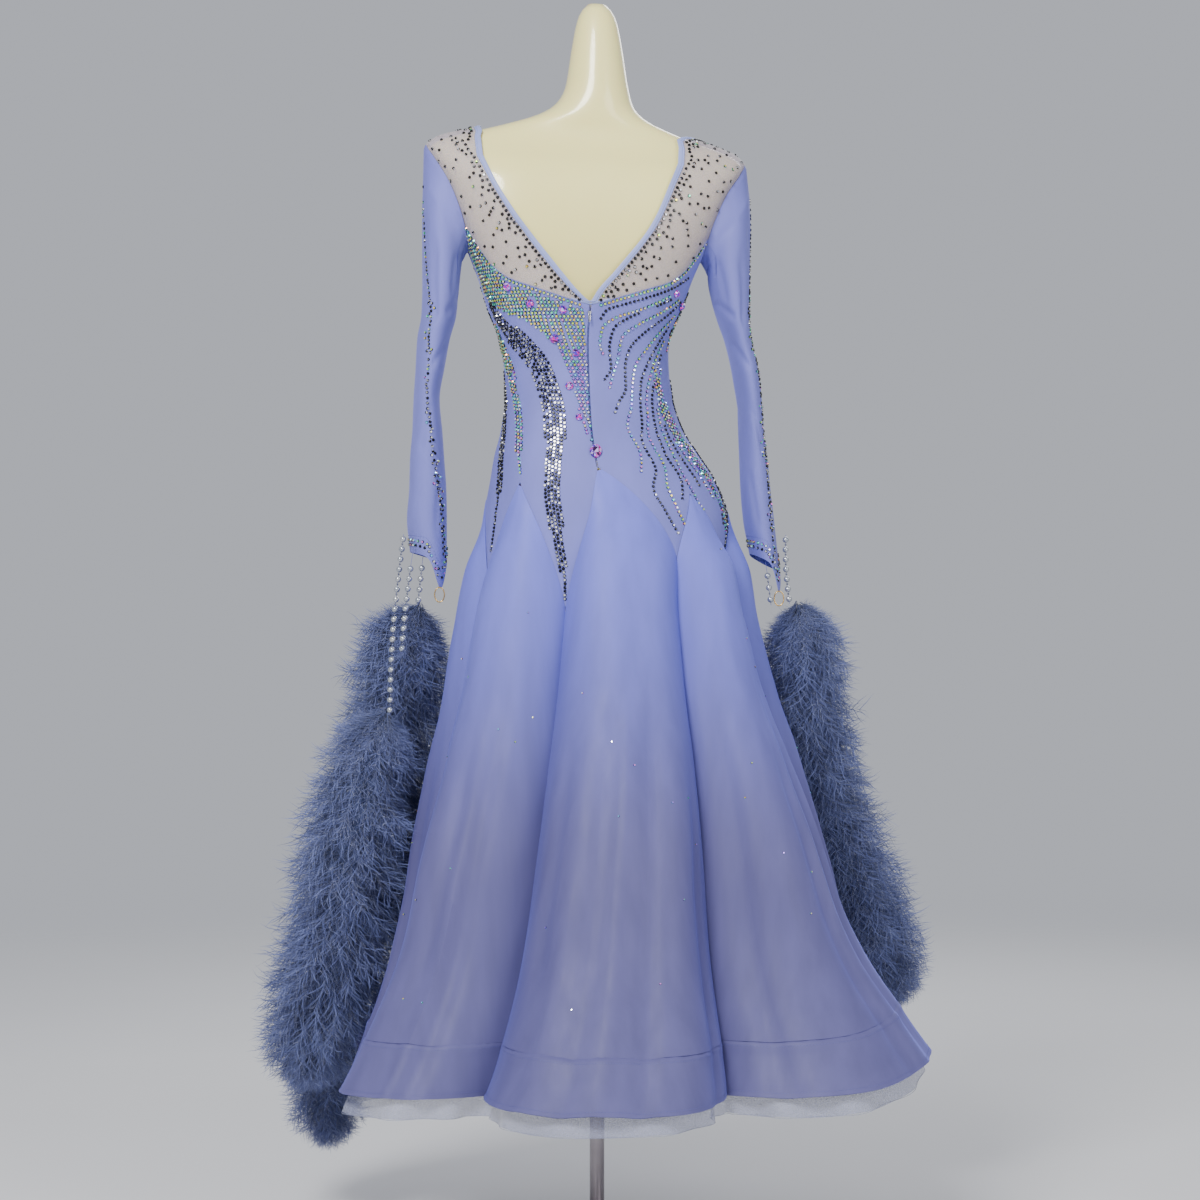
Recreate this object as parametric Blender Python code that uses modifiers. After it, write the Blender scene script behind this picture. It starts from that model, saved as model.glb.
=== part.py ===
"""Ballroom gown standing on a limbless dress form. Metres, +Z up.

The wearer faces -Y, so the gown's back faces +Y and the wearer's left is +X. Angles are in degrees from the
back (+Y) towards the wearer's left (+X). The origin is on the floor, under the middle of the stand.
"""

import math

import bmesh
import bpy
from mathutils import Vector

MM = 0.001
OBJECT_NAME = "ballroom_gown_on_dress_form"

# Cloth
SEAM_GAP = 0.3 * MM
# Seams that run on a slant are stepped back further, measured level, to be as far apart across the seam.
SLANT_GAP = 0.6 * MM
CLOTH = 1.4 * MM
BAND_CLOTH = 2.0 * MM
FRILL_CLOTH = 1.0 * MM
FORM_CLEARANCE = 5.0 * MM
BINDING_WIDTH = 8 * MM

# Stand
BASE_RADIUS = 0.165
BASE_EDGE = 0.006
BASE_HEIGHT = 0.014
POLE_RADIUS = 0.0095
FORM_BOTTOM = 0.80

# One shoulder stands a little higher than the other.
SHOULDER_TILT = 0.05
TILT_FROM = 1.15
TILT_TO = 1.40

# Cloth over the torso: height, half width, depth to the back and to the front, sideways place, squareness
TORSO = [
    (0.780, 0.154, 0.112, 0.100, -0.004, 2.1),
    (0.830, 0.160, 0.118, 0.102, -0.005, 2.1),
    (0.890, 0.161, 0.119, 0.101, -0.009, 2.1),
    (0.950, 0.159, 0.115, 0.098, -0.012, 2.1),
    (1.000, 0.146, 0.107, 0.094, -0.007, 2.2),
    (1.030, 0.134, 0.097, 0.090, 0.000, 2.2),
    (1.066, 0.118, 0.085, 0.086, 0.007, 2.2),
    (1.105, 0.109, 0.077, 0.084, 0.011, 2.2),
    (1.145, 0.107, 0.074, 0.087, 0.014, 2.2),
    (1.183, 0.111, 0.078, 0.096, 0.016, 2.3),
    (1.222, 0.126, 0.086, 0.109, 0.016, 2.4),
    (1.261, 0.139, 0.092, 0.116, 0.016, 2.5),
    (1.300, 0.155, 0.095, 0.112, 0.016, 2.7),
    (1.340, 0.172, 0.094, 0.100, 0.016, 2.9),
    (1.380, 0.190, 0.088, 0.086, 0.016, 3.0),
    (1.405, 0.203, 0.076, 0.070, 0.015, 3.0),
    (1.421, 0.208, 0.062, 0.054, 0.015, 2.9),
    (1.434, 0.195, 0.052, 0.046, 0.014, 2.7),
    (1.445, 0.162, 0.048, 0.043, 0.013, 2.5),
    (1.452, 0.138, 0.047, 0.043, 0.012, 2.3),
    (1.462, 0.106, 0.049, 0.045, 0.010, 2.2),
    (1.473, 0.076, 0.050, 0.047, 0.007, 2.1),
    (1.488, 0.055, 0.050, 0.048, 0.003, 2.0),
    (1.510, 0.046, 0.048, 0.048, 0.000, 2.0),
    (1.560, 0.038, 0.042, 0.042, 0.000, 2.0),
    (1.600, 0.030, 0.033, 0.033, 0.000, 2.0),
    (1.618, 0.021, 0.023, 0.023, 0.000, 2.0),
    (1.626, 0.010, 0.011, 0.011, 0.000, 2.0),
]

# Heights of the rings of the bare form, closer together over the shoulders
FORM_RINGS = (
    0.800, 0.830, 0.890, 0.950, 1.000, 1.035, 1.070, 1.105, 1.145, 1.183, 1.222, 1.261, 1.300, 1.340,
    1.380, 1.405, 1.421, 1.434, 1.445, 1.453, 1.463, 1.474, 1.490, 1.520, 1.560, 1.600, 1.618, 1.625,
)
FORM_SIDES = 28

# Neckline, on the left side (1) and the right (-1), and the seam under the yoke: angle, height
BACK_NECKLINE = {
    1: [
        (0, 1.2245), (4.2, 1.2374), (10.7, 1.2606), (20.9, 1.3066), (28.9, 1.3527), (31.6, 1.3763), (33.0, 1.401),
        (37.4, 1.4309), (52, 1.4435), (75, 1.450), (90, 1.452),
    ],
    -1: [
        (0, 1.2245), (2.5, 1.2405), (8.2, 1.2625), (13.6, 1.2875), (18.2, 1.3131), (20.9, 1.3386), (22.2, 1.3643),
        (23.3, 1.3903), (25.0, 1.4179), (33, 1.440), (50, 1.449), (75, 1.4525), (90, 1.452),
    ],
}
FRONT_NECKLINE = [(90, 1.452), (125, 1.441), (142, 1.410), (150, 1.376), (160, 1.338), (170, 1.308), (180, 1.290)]
BACK_YOKE_SEAM = [
    (0, 1.2205), (7, 1.2263), (17, 1.2343), (31, 1.2443), (45, 1.2538), (58, 1.2715), (65, 1.2915), (72, 1.3185),
]
FRONT_YOKE_SEAM = [(108, 1.3185), (115, 1.295), (123, 1.284), (140, 1.280), (160, 1.283), (180, 1.2885)]

# Armhole, an oval on the torso's surface: middle angle and height, half size, and where the yoke seam meets it
ARMHOLE_ANGLE = 90
ARMHOLE_HEIGHT = 1.357
ARMHOLE_HALF_ANGLE = 22
ARMHOLE_HALF_HEIGHT = 0.067
ARMHOLE_CORNER = 18
ARMHOLE_UPPER_STEPS = 10
# The sleeve starts on a slightly smaller oval than the armhole, for the seam's gap.
ARMHOLE_INSET = 0.984
COLUMN_STEP = 9
# Neckline angle matched to each step round the top of the armhole, on each side
NECK_MATCH = {
    1: [(0, 24), (1, 26), (2, 29.8), (3, 33.5), (4, 58), (5, 90), (6, 124), (7, 138), (8, 143), (9, 147), (10, 151)],
    -1: [(0, 18.5), (1, 20.6), (2, 22.2), (3, 24.3), (4, 50), (5, 90), (6, 124), (7, 138), (8, 143), (9, 147), (10, 151)],
}
YOKE_ROWS = 6

# Skirt godets: name, angle and height of the point, hem radius, raised fold across (0 to 1) and its height,
# then the seam to the next godet: angle and height of the bodice point, angle and radius at the hem
GODETS = [
    ("back", 4, 1.014, 0.400, 0.24, 0.016, 19, 0.829, 31, 0.283),
    ("back_left", 48, 0.995, 0.376, 0.60, 0.008, 70, 0.862, 74, 0.268),
    ("left", 92, 0.978, 0.314, 0.40, 0.006, 114, 0.860, 113, 0.255),
    ("front_left", 136, 0.990, 0.372, 0.35, 0.010, 159, 0.845, 157, 0.272),
    ("front", 181, 1.004, 0.395, 0.66, 0.012, 203, 0.842, 204, 0.275),
    ("front_right", 226, 0.990, 0.410, 0.30, 0.009, 248, 0.860, 240, 0.300),
    ("right", 269, 0.978, 0.412, 0.55, 0.007, 293, 0.880, 278, 0.345),
    ("back_right", 320, 0.981, 0.442, 0.70, 0.010, 330, 0.894, 337, 0.297),
]
GODET_COLUMNS = 10
POINT_ROWS = 5
POINT_COLUMNS = 5
BODICE_ROWS = 9
GODET_START = 0.16
# Share of a bodice point that is left off, so that its tip has a width
TIP_END = 0.04
BAND_TOP = 0.303
BAND_MIDDLE = 0.272
HEM = 0.240
# The hem rises towards one side: angle of the highest place, its rise, and how far round it reaches
HEM_RISE = (288, 0.042, 28)
RISE_TOP = 0.600
SEAM_HEIGHTS = (0.03, 0.19, 0.35, 0.52, 0.69, 0.85, 1.0)

# How far the skirt has flared out at each height: height, share of the hem's flare
FLARE = [
    (0.240, 1.00), (0.270, 0.93), (0.303, 0.86), (0.330, 0.80), (0.380, 0.70), (0.430, 0.63), (0.510, 0.55),
    (0.585, 0.465), (0.660, 0.37), (0.700, 0.31), (0.740, 0.26), (0.790, 0.21), (0.850, 0.15), (0.900, 0.10),
    (0.950, 0.045), (1.020, 0.0),
]
TORSO_BELOW = 0.830

# Frill
FRILL_TOP = 0.262
FRILL_HEM = 0.213
FRILL_INSET = 0.011
FRILL_WAVE = 0.0022

# Sleeves, down from the armhole: outer edge x and z, inner edge x and z, y, half depth
LEFT_SLEEVE = [
    (0.2260, 1.385, 0.1745, 1.283, 0.000, 0.050),
    (0.2275, 1.340, 0.1765, 1.274, -0.001, 0.052),
    (0.2270, 1.295, 0.1780, 1.260, -0.002, 0.053),
    (0.2265, 1.250, 0.1800, 1.238, -0.003, 0.054),
    (0.2275, 1.215, 0.1830, 1.212, -0.004, 0.053),
    (0.2330, 1.183, 0.1910, 1.183, -0.006, 0.051),
    (0.2355, 1.144, 0.1980, 1.144, -0.008, 0.049),
    (0.2380, 1.105, 0.2040, 1.105, -0.010, 0.047),
    (0.2390, 1.066, 0.2010, 1.066, -0.012, 0.045),
    (0.2420, 1.027, 0.1980, 1.027, -0.014, 0.043),
    (0.2430, 0.988, 0.1950, 0.988, -0.016, 0.041),
    (0.2460, 0.949, 0.1940, 0.949, -0.018, 0.040),
    (0.2425, 0.907, 0.1940, 0.894, -0.020, 0.041),
]
RIGHT_SLEEVE = [
    (0.1990, 1.372, 0.1425, 1.274, 0.000, 0.050),
    (0.2000, 1.328, 0.1445, 1.265, -0.001, 0.052),
    (0.2000, 1.285, 0.1475, 1.250, -0.002, 0.053),
    (0.2000, 1.244, 0.1520, 1.231, -0.003, 0.054),
    (0.2000, 1.212, 0.1590, 1.209, -0.004, 0.053),
    (0.2020, 1.183, 0.1690, 1.183, -0.006, 0.051),
    (0.2110, 1.144, 0.1790, 1.144, -0.008, 0.049),
    (0.2160, 1.105, 0.1850, 1.105, -0.010, 0.047),
    (0.2200, 1.066, 0.1875, 1.066, -0.012, 0.045),
    (0.2250, 1.027, 0.1890, 1.027, -0.014, 0.043),
    (0.2290, 0.988, 0.1910, 0.988, -0.016, 0.041),
    (0.2350, 0.949, 0.1945, 0.949, -0.018, 0.040),
    (0.2430, 0.884, 0.2030, 0.905, -0.020, 0.041),
]
ARMHOLE_SLANT = 21
ARMHOLE_LIP = 0.002
# The cuff's point: angle round the cuff (0 is the outer edge, 90 the back), how far it dips, how wide it is
LEFT_CUFF_POINT = (128, 0.036, 26)
RIGHT_CUFF_POINT = (40, 0.030, 26)
LOOP_RADIUS = 0.0065
LOOP_STRETCH = 1.45
LOOP_WIRE = 0.8 * MM

# Pearl strands: start and end, with the sideways sag between
PEARLS = [
    ("pearls_left_long", (0.2510, 0.004, 0.930), (0.2690, 0.024, 0.697), 0.004),
    ("pearls_left_middle", (0.2420, 0.022, 0.8915), (0.2540, 0.022, 0.776), 0.001),
    ("pearls_left_short", (0.2270, 0.006, 0.8930), (0.2330, 0.008, 0.838), 0.0),
    ("pearls_right_outer", (-0.2470, 0.004, 0.930), (-0.2520, 0.004, 0.840), 0.002),
    ("pearls_right_inner", (-0.2200, 0.018, 0.8840), (-0.2260, 0.016, 0.838), 0.0),
]
PEARL_PITCH = 13.5 * MM
PEARL_RADIUS = 3.5 * MM
THREAD_RADIUS = 0.6 * MM
PEARL_SIDES = 6
# Place along one pitch and radius, for the rings of each pearl
PEARL_PROFILE = (
    (-0.26, THREAD_RADIUS), (-0.13, PEARL_RADIUS), (0.13, PEARL_RADIUS), (0.26, THREAD_RADIUS),
)

# Feather boas, from the hung end down: x, y, z, radius
BOAS = [
    ("boa_left_short", [
        (0.232, -0.060, 0.829, 0.028), (0.242, -0.072, 0.800, 0.050), (0.258, -0.104, 0.740, 0.054),
        (0.268, -0.142, 0.670, 0.056), (0.276, -0.174, 0.590, 0.056), (0.290, -0.200, 0.500, 0.056),
        (0.308, -0.222, 0.420, 0.056), (0.328, -0.246, 0.340, 0.055), (0.346, -0.270, 0.250, 0.053),
        (0.350, -0.282, 0.160, 0.046), (0.346, -0.286, 0.107, 0.026),
    ]),
    ("boa_left_long", [
        (0.276, -0.006, 0.692, 0.026), (0.286, -0.012, 0.665, 0.046), (0.304, -0.022, 0.600, 0.057),
        (0.316, -0.034, 0.540, 0.061), (0.324, -0.050, 0.480, 0.062), (0.335, -0.068, 0.420, 0.062),
        (0.347, -0.088, 0.360, 0.061), (0.362, -0.106, 0.300, 0.058), (0.374, -0.118, 0.250, 0.048),
        (0.378, -0.122, 0.214, 0.026),
    ]),
    ("boa_right", [
        (-0.270, -0.030, 0.832, 0.026), (-0.276, -0.040, 0.805, 0.044), (-0.285, -0.078, 0.750, 0.052),
        (-0.295, -0.122, 0.680, 0.054), (-0.312, -0.160, 0.610, 0.055), (-0.340, -0.188, 0.540, 0.056),
        (-0.370, -0.206, 0.470, 0.056), (-0.398, -0.226, 0.410, 0.054), (-0.422, -0.250, 0.350, 0.048),
        (-0.429, -0.258, 0.315, 0.036), (-0.431, -0.260, 0.290, 0.020),
    ]),
]
BOA_SIDES = 12
BOA_LUMP = 0.05

# Large stones on the bodice: angle, height, diameter
STONES = [
    (48, 1.243, 12 * MM), (33, 1.222, 11 * MM), (13, 1.214, 11 * MM), (21, 1.178, 12 * MM), (8, 1.160, 10 * MM),
    (14, 1.118, 11 * MM), (9, 1.078, 10 * MM), (-72, 1.226, 11 * MM), (-56, 1.240, 10 * MM),
]
STONE_SIDES = 8
STONE_LIFT = 1.2 * MM
CENTRE_STONE = (3.0, 1.034, 16 * MM)
CENTRE_STONE_STRETCH = 1.15

# Zip
ZIP_TOP = 1.2170
ZIP_BOTTOM = 1.024
ZIP_GROOVE = 2.6 * MM
ZIP_ROWS = 14
COIL_HALF = 0.8 * MM
COIL_SUNK = 0.3 * MM
TAPE_HALF = 8 * MM
TAPE_TOP = 2.3 * MM
TAPE_DEPTH = 3.1 * MM
SLIDER_SIZE = (5.0 * MM, 1.8 * MM, 9.0 * MM)
SLIDER_HEIGHT = 1.2085
SLIDER_LIFT = 1.0 * MM
BAIL_RADIUS = 1.35 * MM
BAIL_WIRE = 0.4 * MM
BAIL_REACH = 158
PULL_WIDTH = 2.8 * MM
PULL_LENGTH = 11 * MM
PULL_THICKNESS = 0.7 * MM
PULL_BAR = 0.7 * MM
PULL_HOLE = (1.5 * MM, 2.6 * MM)

# Colours: base colour, roughness, metallic
MATERIALS = {
    "stretch_cloth": ((0.34, 0.36, 0.66), 0.55, 0.0),
    "organza": ((0.36, 0.37, 0.64), 0.5, 0.0),
    "band_cloth": ((0.32, 0.32, 0.56), 0.5, 0.0),
    "mesh_net": ((0.55, 0.52, 0.62), 0.7, 0.0),
    "crin": ((0.36, 0.37, 0.52), 0.5, 0.0),
    "binding_cloth": ((0.40, 0.42, 0.72), 0.5, 0.0),
    "marabou": ((0.16, 0.21, 0.36), 0.9, 0.0),
    "pearl": ((0.80, 0.80, 0.84), 0.2, 0.0),
    "stone_glass": ((0.62, 0.40, 0.72), 0.05, 0.2),
    "gold_wire": ((0.80, 0.58, 0.22), 0.25, 1.0),
    "zip_plastic": ((0.20, 0.21, 0.38), 0.5, 0.0),
    "zip_metal": ((0.70, 0.70, 0.74), 0.3, 1.0),
    "form_shell": ((0.86, 0.79, 0.62), 0.3, 0.0),
    "stand_metal": ((0.45, 0.42, 0.44), 0.35, 1.0),
}


def clear_scene():
    for obj in list(bpy.data.objects):
        bpy.data.objects.remove(obj, do_unlink=True)


def make_collection():
    collection = bpy.data.collections.new(OBJECT_NAME)
    bpy.context.scene.collection.children.link(collection)
    return collection


def make_materials():
    made = {}
    for name, (colour, roughness, metallic) in MATERIALS.items():
        made[name] = bpy.data.materials.new(name)
        made[name].use_nodes = True
        shader = made[name].node_tree.nodes["Principled BSDF"]
        shader.inputs["Base Color"].default_value = (*colour, 1.0)
        shader.inputs["Roughness"].default_value = roughness
        shader.inputs["Metallic"].default_value = metallic
    return made


# ---------------------------------------------------------------- curves and surfaces


def mix(low, high, share):
    return low + (high - low) * share


def smooth_step(low, high, value):
    share = min(max((value - low) / (high - low), 0.0), 1.0)
    return share * share * (3 - 2 * share)


def row_slopes(rows, column):
    """Slopes of a smooth curve through a table's column that never overshoots its rows."""
    steps = [
        (high[column] - low[column]) / (high[0] - low[0]) for low, high in zip(rows, rows[1:])
    ]
    slopes = [steps[0]]
    for before, after in zip(steps, steps[1:]):
        slopes.append(0.0 if before * after <= 0 else 2 * before * after / (before + after))
    return slopes + [steps[-1]]


def from_table(rows, place, column=1):
    """The table's value at a place in its first column, on a smooth curve through its rows."""
    place = min(max(place, rows[0][0]), rows[-1][0])
    index = max(i for i, row in enumerate(rows[:-1]) if row[0] <= place)
    low, high = rows[index], rows[index + 1]
    slopes = row_slopes(rows, column)
    width = high[0] - low[0]
    t = (place - low[0]) / width
    return (
        (2 * t**3 - 3 * t**2 + 1) * low[column]
        + (t**3 - 2 * t**2 + t) * width * slopes[index]
        + (3 * t**2 - 2 * t**3) * high[column]
        + (t**3 - t**2) * width * slopes[index + 1]
    )


def signed_power(value, power):
    return math.copysign(abs(value) ** power, value)


def torso_point(degrees, height):
    """A point of the cloth's outer surface over the torso."""
    angle = math.radians(degrees)
    half_width, back, front, middle, square = (from_table(TORSO, height, column) for column in range(1, 6))
    depth = back if math.cos(angle) > 0 else front
    x = half_width * signed_power(math.sin(angle), 2 / square)
    y = depth * signed_power(math.cos(angle), 2 / square)
    lift = SHOULDER_TILT * smooth_step(TILT_FROM, TILT_TO, height) * x
    return Vector((middle + x, y, height + lift))


def torso_normal(degrees, height):
    turn, rise = 0.5, 0.002
    across = torso_point(degrees + turn, height) - torso_point(degrees - turn, height)
    down = torso_point(degrees, height - rise) - torso_point(degrees, height + rise)
    return across.cross(down).normalized()


def outward(degrees):
    angle = math.radians(degrees)
    return Vector((math.sin(angle), math.cos(angle), 0.0))


def nudged(degrees, height, distance):
    """The angle that lies this far along the surface, towards larger angles if the distance is positive."""
    step = (torso_point(degrees + 0.5, height) - torso_point(degrees - 0.5, height)).length
    return degrees + distance / step


# ---------------------------------------------------------------- building objects


class Builder:
    """Adds named objects with their materials to the part's collection."""

    def __init__(self):
        self.collection = make_collection()
        self.materials = make_materials()

    def add(self, name, data, material):
        obj = bpy.data.objects.new(name, data)
        data.materials.append(self.materials[material])
        self.collection.objects.link(obj)
        return obj

    def mesh(self, name, points, faces, material):
        data = bpy.data.meshes.new(name)
        data.from_pydata([tuple(point) for point in points], [], faces)
        data.update()
        return self.add(name, data, material)

    def from_bmesh(self, name, shape, material):
        data = bpy.data.meshes.new(name)
        bmesh.ops.recalc_face_normals(shape, faces=shape.faces)
        shape.to_mesh(data)
        shape.free()
        return self.add(name, data, material)

    def cloth(self, name, points, faces, material, thickness=CLOTH):
        """An open sheet whose points are the outer side, given its thickness inwards."""
        obj = self.mesh(name, points, faces, material)
        wall = obj.modifiers.new("wall", "SOLIDIFY")
        wall.thickness = thickness
        wall.offset = -1
        wall.use_even_offset = False
        return obj


def grid_faces(rows, columns, closed=False):
    """Faces of a grid of points stored row by row, rows going down and columns towards larger angles."""
    faces = []
    for row in range(rows - 1):
        for column in range(columns if closed else columns - 1):
            after = (column + 1) % columns
            faces.append(
                (row * columns + column, row * columns + after,
                 (row + 1) * columns + after, (row + 1) * columns + column)
            )
    return faces


def capped_tube(rings):
    """Points and faces of a closed body through rings of the same number of points."""
    sides = len(rings[0])
    points = [point for ring in rings for point in ring]
    faces = grid_faces(len(rings), sides, closed=True)
    faces.append(tuple(reversed(range(sides))))
    last = (len(rings) - 1) * sides
    faces.append(tuple(last + side for side in range(sides)))
    return points, faces


def closed_body(builder, name, rings, material):
    points, faces = capped_tube(rings)
    obj = builder.mesh(name, points, faces, material)
    shape = bmesh.new()
    shape.from_mesh(obj.data)
    bmesh.ops.recalc_face_normals(shape, faces=shape.faces)
    shape.to_mesh(obj.data)
    shape.free()
    return obj


# ---------------------------------------------------------------- form and stand


def make_form(builder):
    rings = []
    for height in FORM_RINGS:
        ring = []
        for side in range(FORM_SIDES):
            degrees = 360 * side / FORM_SIDES
            inward = torso_normal(degrees, height) * FORM_CLEARANCE
            ring.append(torso_point(degrees, height) - inward)
        rings.append(ring)
    for point in rings[0]:
        point.z = FORM_BOTTOM
    rings.reverse()
    closed_body(builder, "dress_form", rings, "form_shell")


def add_cylinder(builder, name, radius, bottom, top, material, sides=24):
    shape = bmesh.new()
    bmesh.ops.create_cone(
        shape, cap_ends=True, segments=sides, radius1=radius, radius2=radius, depth=top - bottom
    )
    obj = builder.from_bmesh(name, shape, material)
    obj.location.z = (bottom + top) / 2
    return obj


def make_stand(builder):
    profile = [(0, 0), (BASE_RADIUS, 0), (BASE_RADIUS, BASE_EDGE), (BASE_RADIUS * 0.3, BASE_HEIGHT), (0, BASE_HEIGHT)]
    data = bpy.data.meshes.new("stand_base")
    data.from_pydata([(x, 0, z) for x, z in profile], [(i, i + 1) for i in range(len(profile) - 1)], [])
    base = builder.add("stand_base", data, "stand_metal")
    turn = base.modifiers.new("turn", "SCREW")
    turn.steps = turn.render_steps = 36
    turn.use_merge_vertices = True
    turn.merge_threshold = 0.00005
    turn.use_normal_calculate = True
    pole_bottom = BASE_HEIGHT + SEAM_GAP
    add_cylinder(builder, "stand_pole", POLE_RADIUS, pole_bottom, FORM_BOTTOM - SEAM_GAP, "stand_metal", 20)


# ---------------------------------------------------------------- bodice, yokes and binding


def lower_armhole_height(degrees):
    share = (degrees - ARMHOLE_ANGLE) / ARMHOLE_HALF_ANGLE
    return ARMHOLE_HEIGHT - ARMHOLE_HALF_HEIGHT * math.sqrt(1 - share * share)


def upper_armhole_place(step):
    """Angle and height on the armhole, in steps from its back corner over the top to its front corner."""
    corner = math.asin(ARMHOLE_CORNER / ARMHOLE_HALF_ANGLE) + math.pi / 2
    turn = mix(-corner, corner, step / ARMHOLE_UPPER_STEPS)
    return (
        ARMHOLE_ANGLE + ARMHOLE_HALF_ANGLE * math.sin(turn),
        ARMHOLE_HEIGHT + ARMHOLE_HALF_HEIGHT * math.cos(turn),
    )


def bodice_top(degrees):
    """Height of the bodice's top edge: the yoke seam, and the lower edge of the armhole between its corners."""
    half = abs((degrees + 180) % 360 - 180)
    if abs(half - ARMHOLE_ANGLE) <= ARMHOLE_CORNER:
        return lower_armhole_height(half)
    return from_table(BACK_YOKE_SEAM if half < ARMHOLE_ANGLE else FRONT_YOKE_SEAM, half)


def apex(index):
    """Angle and height of a godet's point, counting on past the last godet."""
    godet = GODETS[index % len(GODETS)]
    return godet[1] + 360 * (index // len(GODETS)), godet[2]


def bodice_tip(index):
    """Angle and height of the bodice point between a godet and the next one."""
    godet = GODETS[index % len(GODETS)]
    return godet[6] + 360 * (index // len(GODETS)), godet[7]


def opened(share):
    """How far a godet's edge has gone from its own point towards the bodice point."""
    return 1 - (1 - share) ** 1.4


def edge_place(apex_place, tip_place, row):
    """Angle and height, row by row, on the seam from a godet's point down to a bodice point."""
    share = row / POINT_ROWS * (1 - TIP_END)
    return (
        mix(apex_place[0], tip_place[0], opened(share)),
        mix(apex_place[1], tip_place[1], share),
    )


def make_bodice_panel(builder, name, first, last):
    """The bodice over the godets from first to last, with a point hanging between each two."""
    columns = (last - first) * POINT_COLUMNS + 1
    points, faces = [], []
    for row in range(BODICE_ROWS + 1):
        down = row / BODICE_ROWS
        for column in range(columns):
            sector, share = divmod(column, POINT_COLUMNS)
            share /= POINT_COLUMNS
            top_degrees = (first + sector + share) * COLUMN_STEP * POINT_COLUMNS
            (near_angle, near_z), (far_angle, far_z) = apex(first + sector), apex(first + sector + 1)
            degrees = mix(top_degrees, mix(near_angle, far_angle, share), down)
            height = mix(bodice_top(top_degrees) - SLANT_GAP, mix(near_z, far_z, share), down)
            if column in (0, columns - 1):
                at_back = (first % len(GODETS) == 0 and column == 0) or (last % len(GODETS) == 0 and column > 0)
                gap = ZIP_GROOVE / 2 if at_back else SLANT_GAP / 2
                degrees = nudged(degrees, height, gap if column == 0 else -gap)
            points.append(torso_point(degrees, height))
    faces += grid_faces(BODICE_ROWS + 1, columns)
    bottom = BODICE_ROWS * columns
    for sector in range(last - first):
        add_bodice_point(points, faces, first + sector, bottom + sector * POINT_COLUMNS)
    builder.cloth(name, points, faces, "stretch_cloth")


def add_bodice_point(points, faces, index, top_left):
    """Adds the rows of one hanging point under the panel's bottom row."""
    above = [top_left + column for column in range(POINT_COLUMNS + 1)]
    tip = bodice_tip(index)
    for row in range(1, POINT_ROWS + 1):
        near_angle, near_z = edge_place(apex(index), tip, row)
        far_angle, far_z = edge_place(apex(index + 1), tip, row)
        near_angle = nudged(near_angle, near_z, SLANT_GAP / 2)
        far_angle = nudged(far_angle, far_z, -SLANT_GAP / 2)
        here = []
        for column in range(POINT_COLUMNS + 1):
            across = column / POINT_COLUMNS
            here.append(len(points))
            points.append(torso_point(mix(near_angle, far_angle, across), mix(near_z, far_z, across)))
        for column in range(POINT_COLUMNS):
            faces.append((above[column], above[column + 1], here[column + 1], here[column]))
        above = here


def yoke_line(side):
    """Matched places along the neckline and along the yoke's lower edge, from the back round to the front."""
    pairs = []
    for degrees in range(COLUMN_STEP, 90 - ARMHOLE_CORNER + 1, COLUMN_STEP):
        share = (degrees - COLUMN_STEP) / (90 - ARMHOLE_CORNER - COLUMN_STEP)
        neck = mix(0.8, NECK_MATCH[side][0][1], share)
        pairs.append(((neck, from_table(BACK_NECKLINE[side], neck)), (degrees, from_table(BACK_YOKE_SEAM, degrees))))
    for step in range(1, ARMHOLE_UPPER_STEPS):
        neck = from_table(NECK_MATCH[side], step)
        table = BACK_NECKLINE[side] if neck < 90 else FRONT_NECKLINE
        pairs.append(((neck, from_table(table, neck)), upper_armhole_place(step)))
    for degrees in range(90 + ARMHOLE_CORNER, 180, COLUMN_STEP):
        share = (degrees - 90 - ARMHOLE_CORNER) / (90 - ARMHOLE_CORNER)
        neck = mix(151.0, 179.0, share)
        pairs.append(((neck, from_table(FRONT_NECKLINE, neck)), (degrees, from_table(FRONT_YOKE_SEAM, degrees))))
    return [((side * a, b), (side * c, d)) for (a, b), (c, d) in pairs]


def torso_between(inner, outer, share):
    return torso_point(mix(inner[0], outer[0], share), mix(inner[1], outer[1], share))


def binding_share(inner, outer, distance):
    """The share of the way from the neckline to the yoke's lower edge that is this far across the cloth."""
    steps = 24
    walked, before = 0.0, torso_between(inner, outer, 0.0)
    for step in range(1, steps + 1):
        here = torso_between(inner, outer, step / steps)
        length = (here - before).length
        if walked + length >= distance:
            return (step - 1 + (distance - walked) / length) / steps
        walked += length
        before = here
    return 1.0


def make_yoke(builder, name, side):
    line = [
        (inner, outer) for inner, outer in yoke_line(side)
        if binding_share(inner, outer, BINDING_WIDTH + 6 * MM) < 1.0
    ]
    if side < 0:
        line.reverse()
    points = []
    for row in range(YOKE_ROWS + 1):
        for inner, outer in line:
            start = binding_share(inner, outer, BINDING_WIDTH + SEAM_GAP)
            share = mix(start, 1.0, row / YOKE_ROWS)
            points.append(torso_between(inner, outer, share))
    builder.cloth(name, points, grid_faces(YOKE_ROWS + 1, len(line)), "mesh_net", 1.0 * MM)


def make_binding(builder):
    """The band round the neckline, a ring that comes to a V at the back and at the front."""
    left = yoke_line(1)
    right = [((360 + a, b), (360 + c, d)) for (a, b), (c, d) in reversed(yoke_line(-1))]
    line = left + right
    top, bottom = [], []
    for inner, outer in line:
        share = binding_share(inner, outer, BINDING_WIDTH)
        if share >= 1.0:
            share = 1.0 - SEAM_GAP / (torso_between(inner, outer, 0) - torso_between(inner, outer, 1)).length
        top.append(torso_between(inner, outer, 0.0))
        bottom.append(torso_between(inner, outer, share))
    builder.cloth("neck_binding", top + bottom, grid_faces(2, len(line), closed=True), "binding_cloth")


# ---------------------------------------------------------------- skirt


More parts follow.
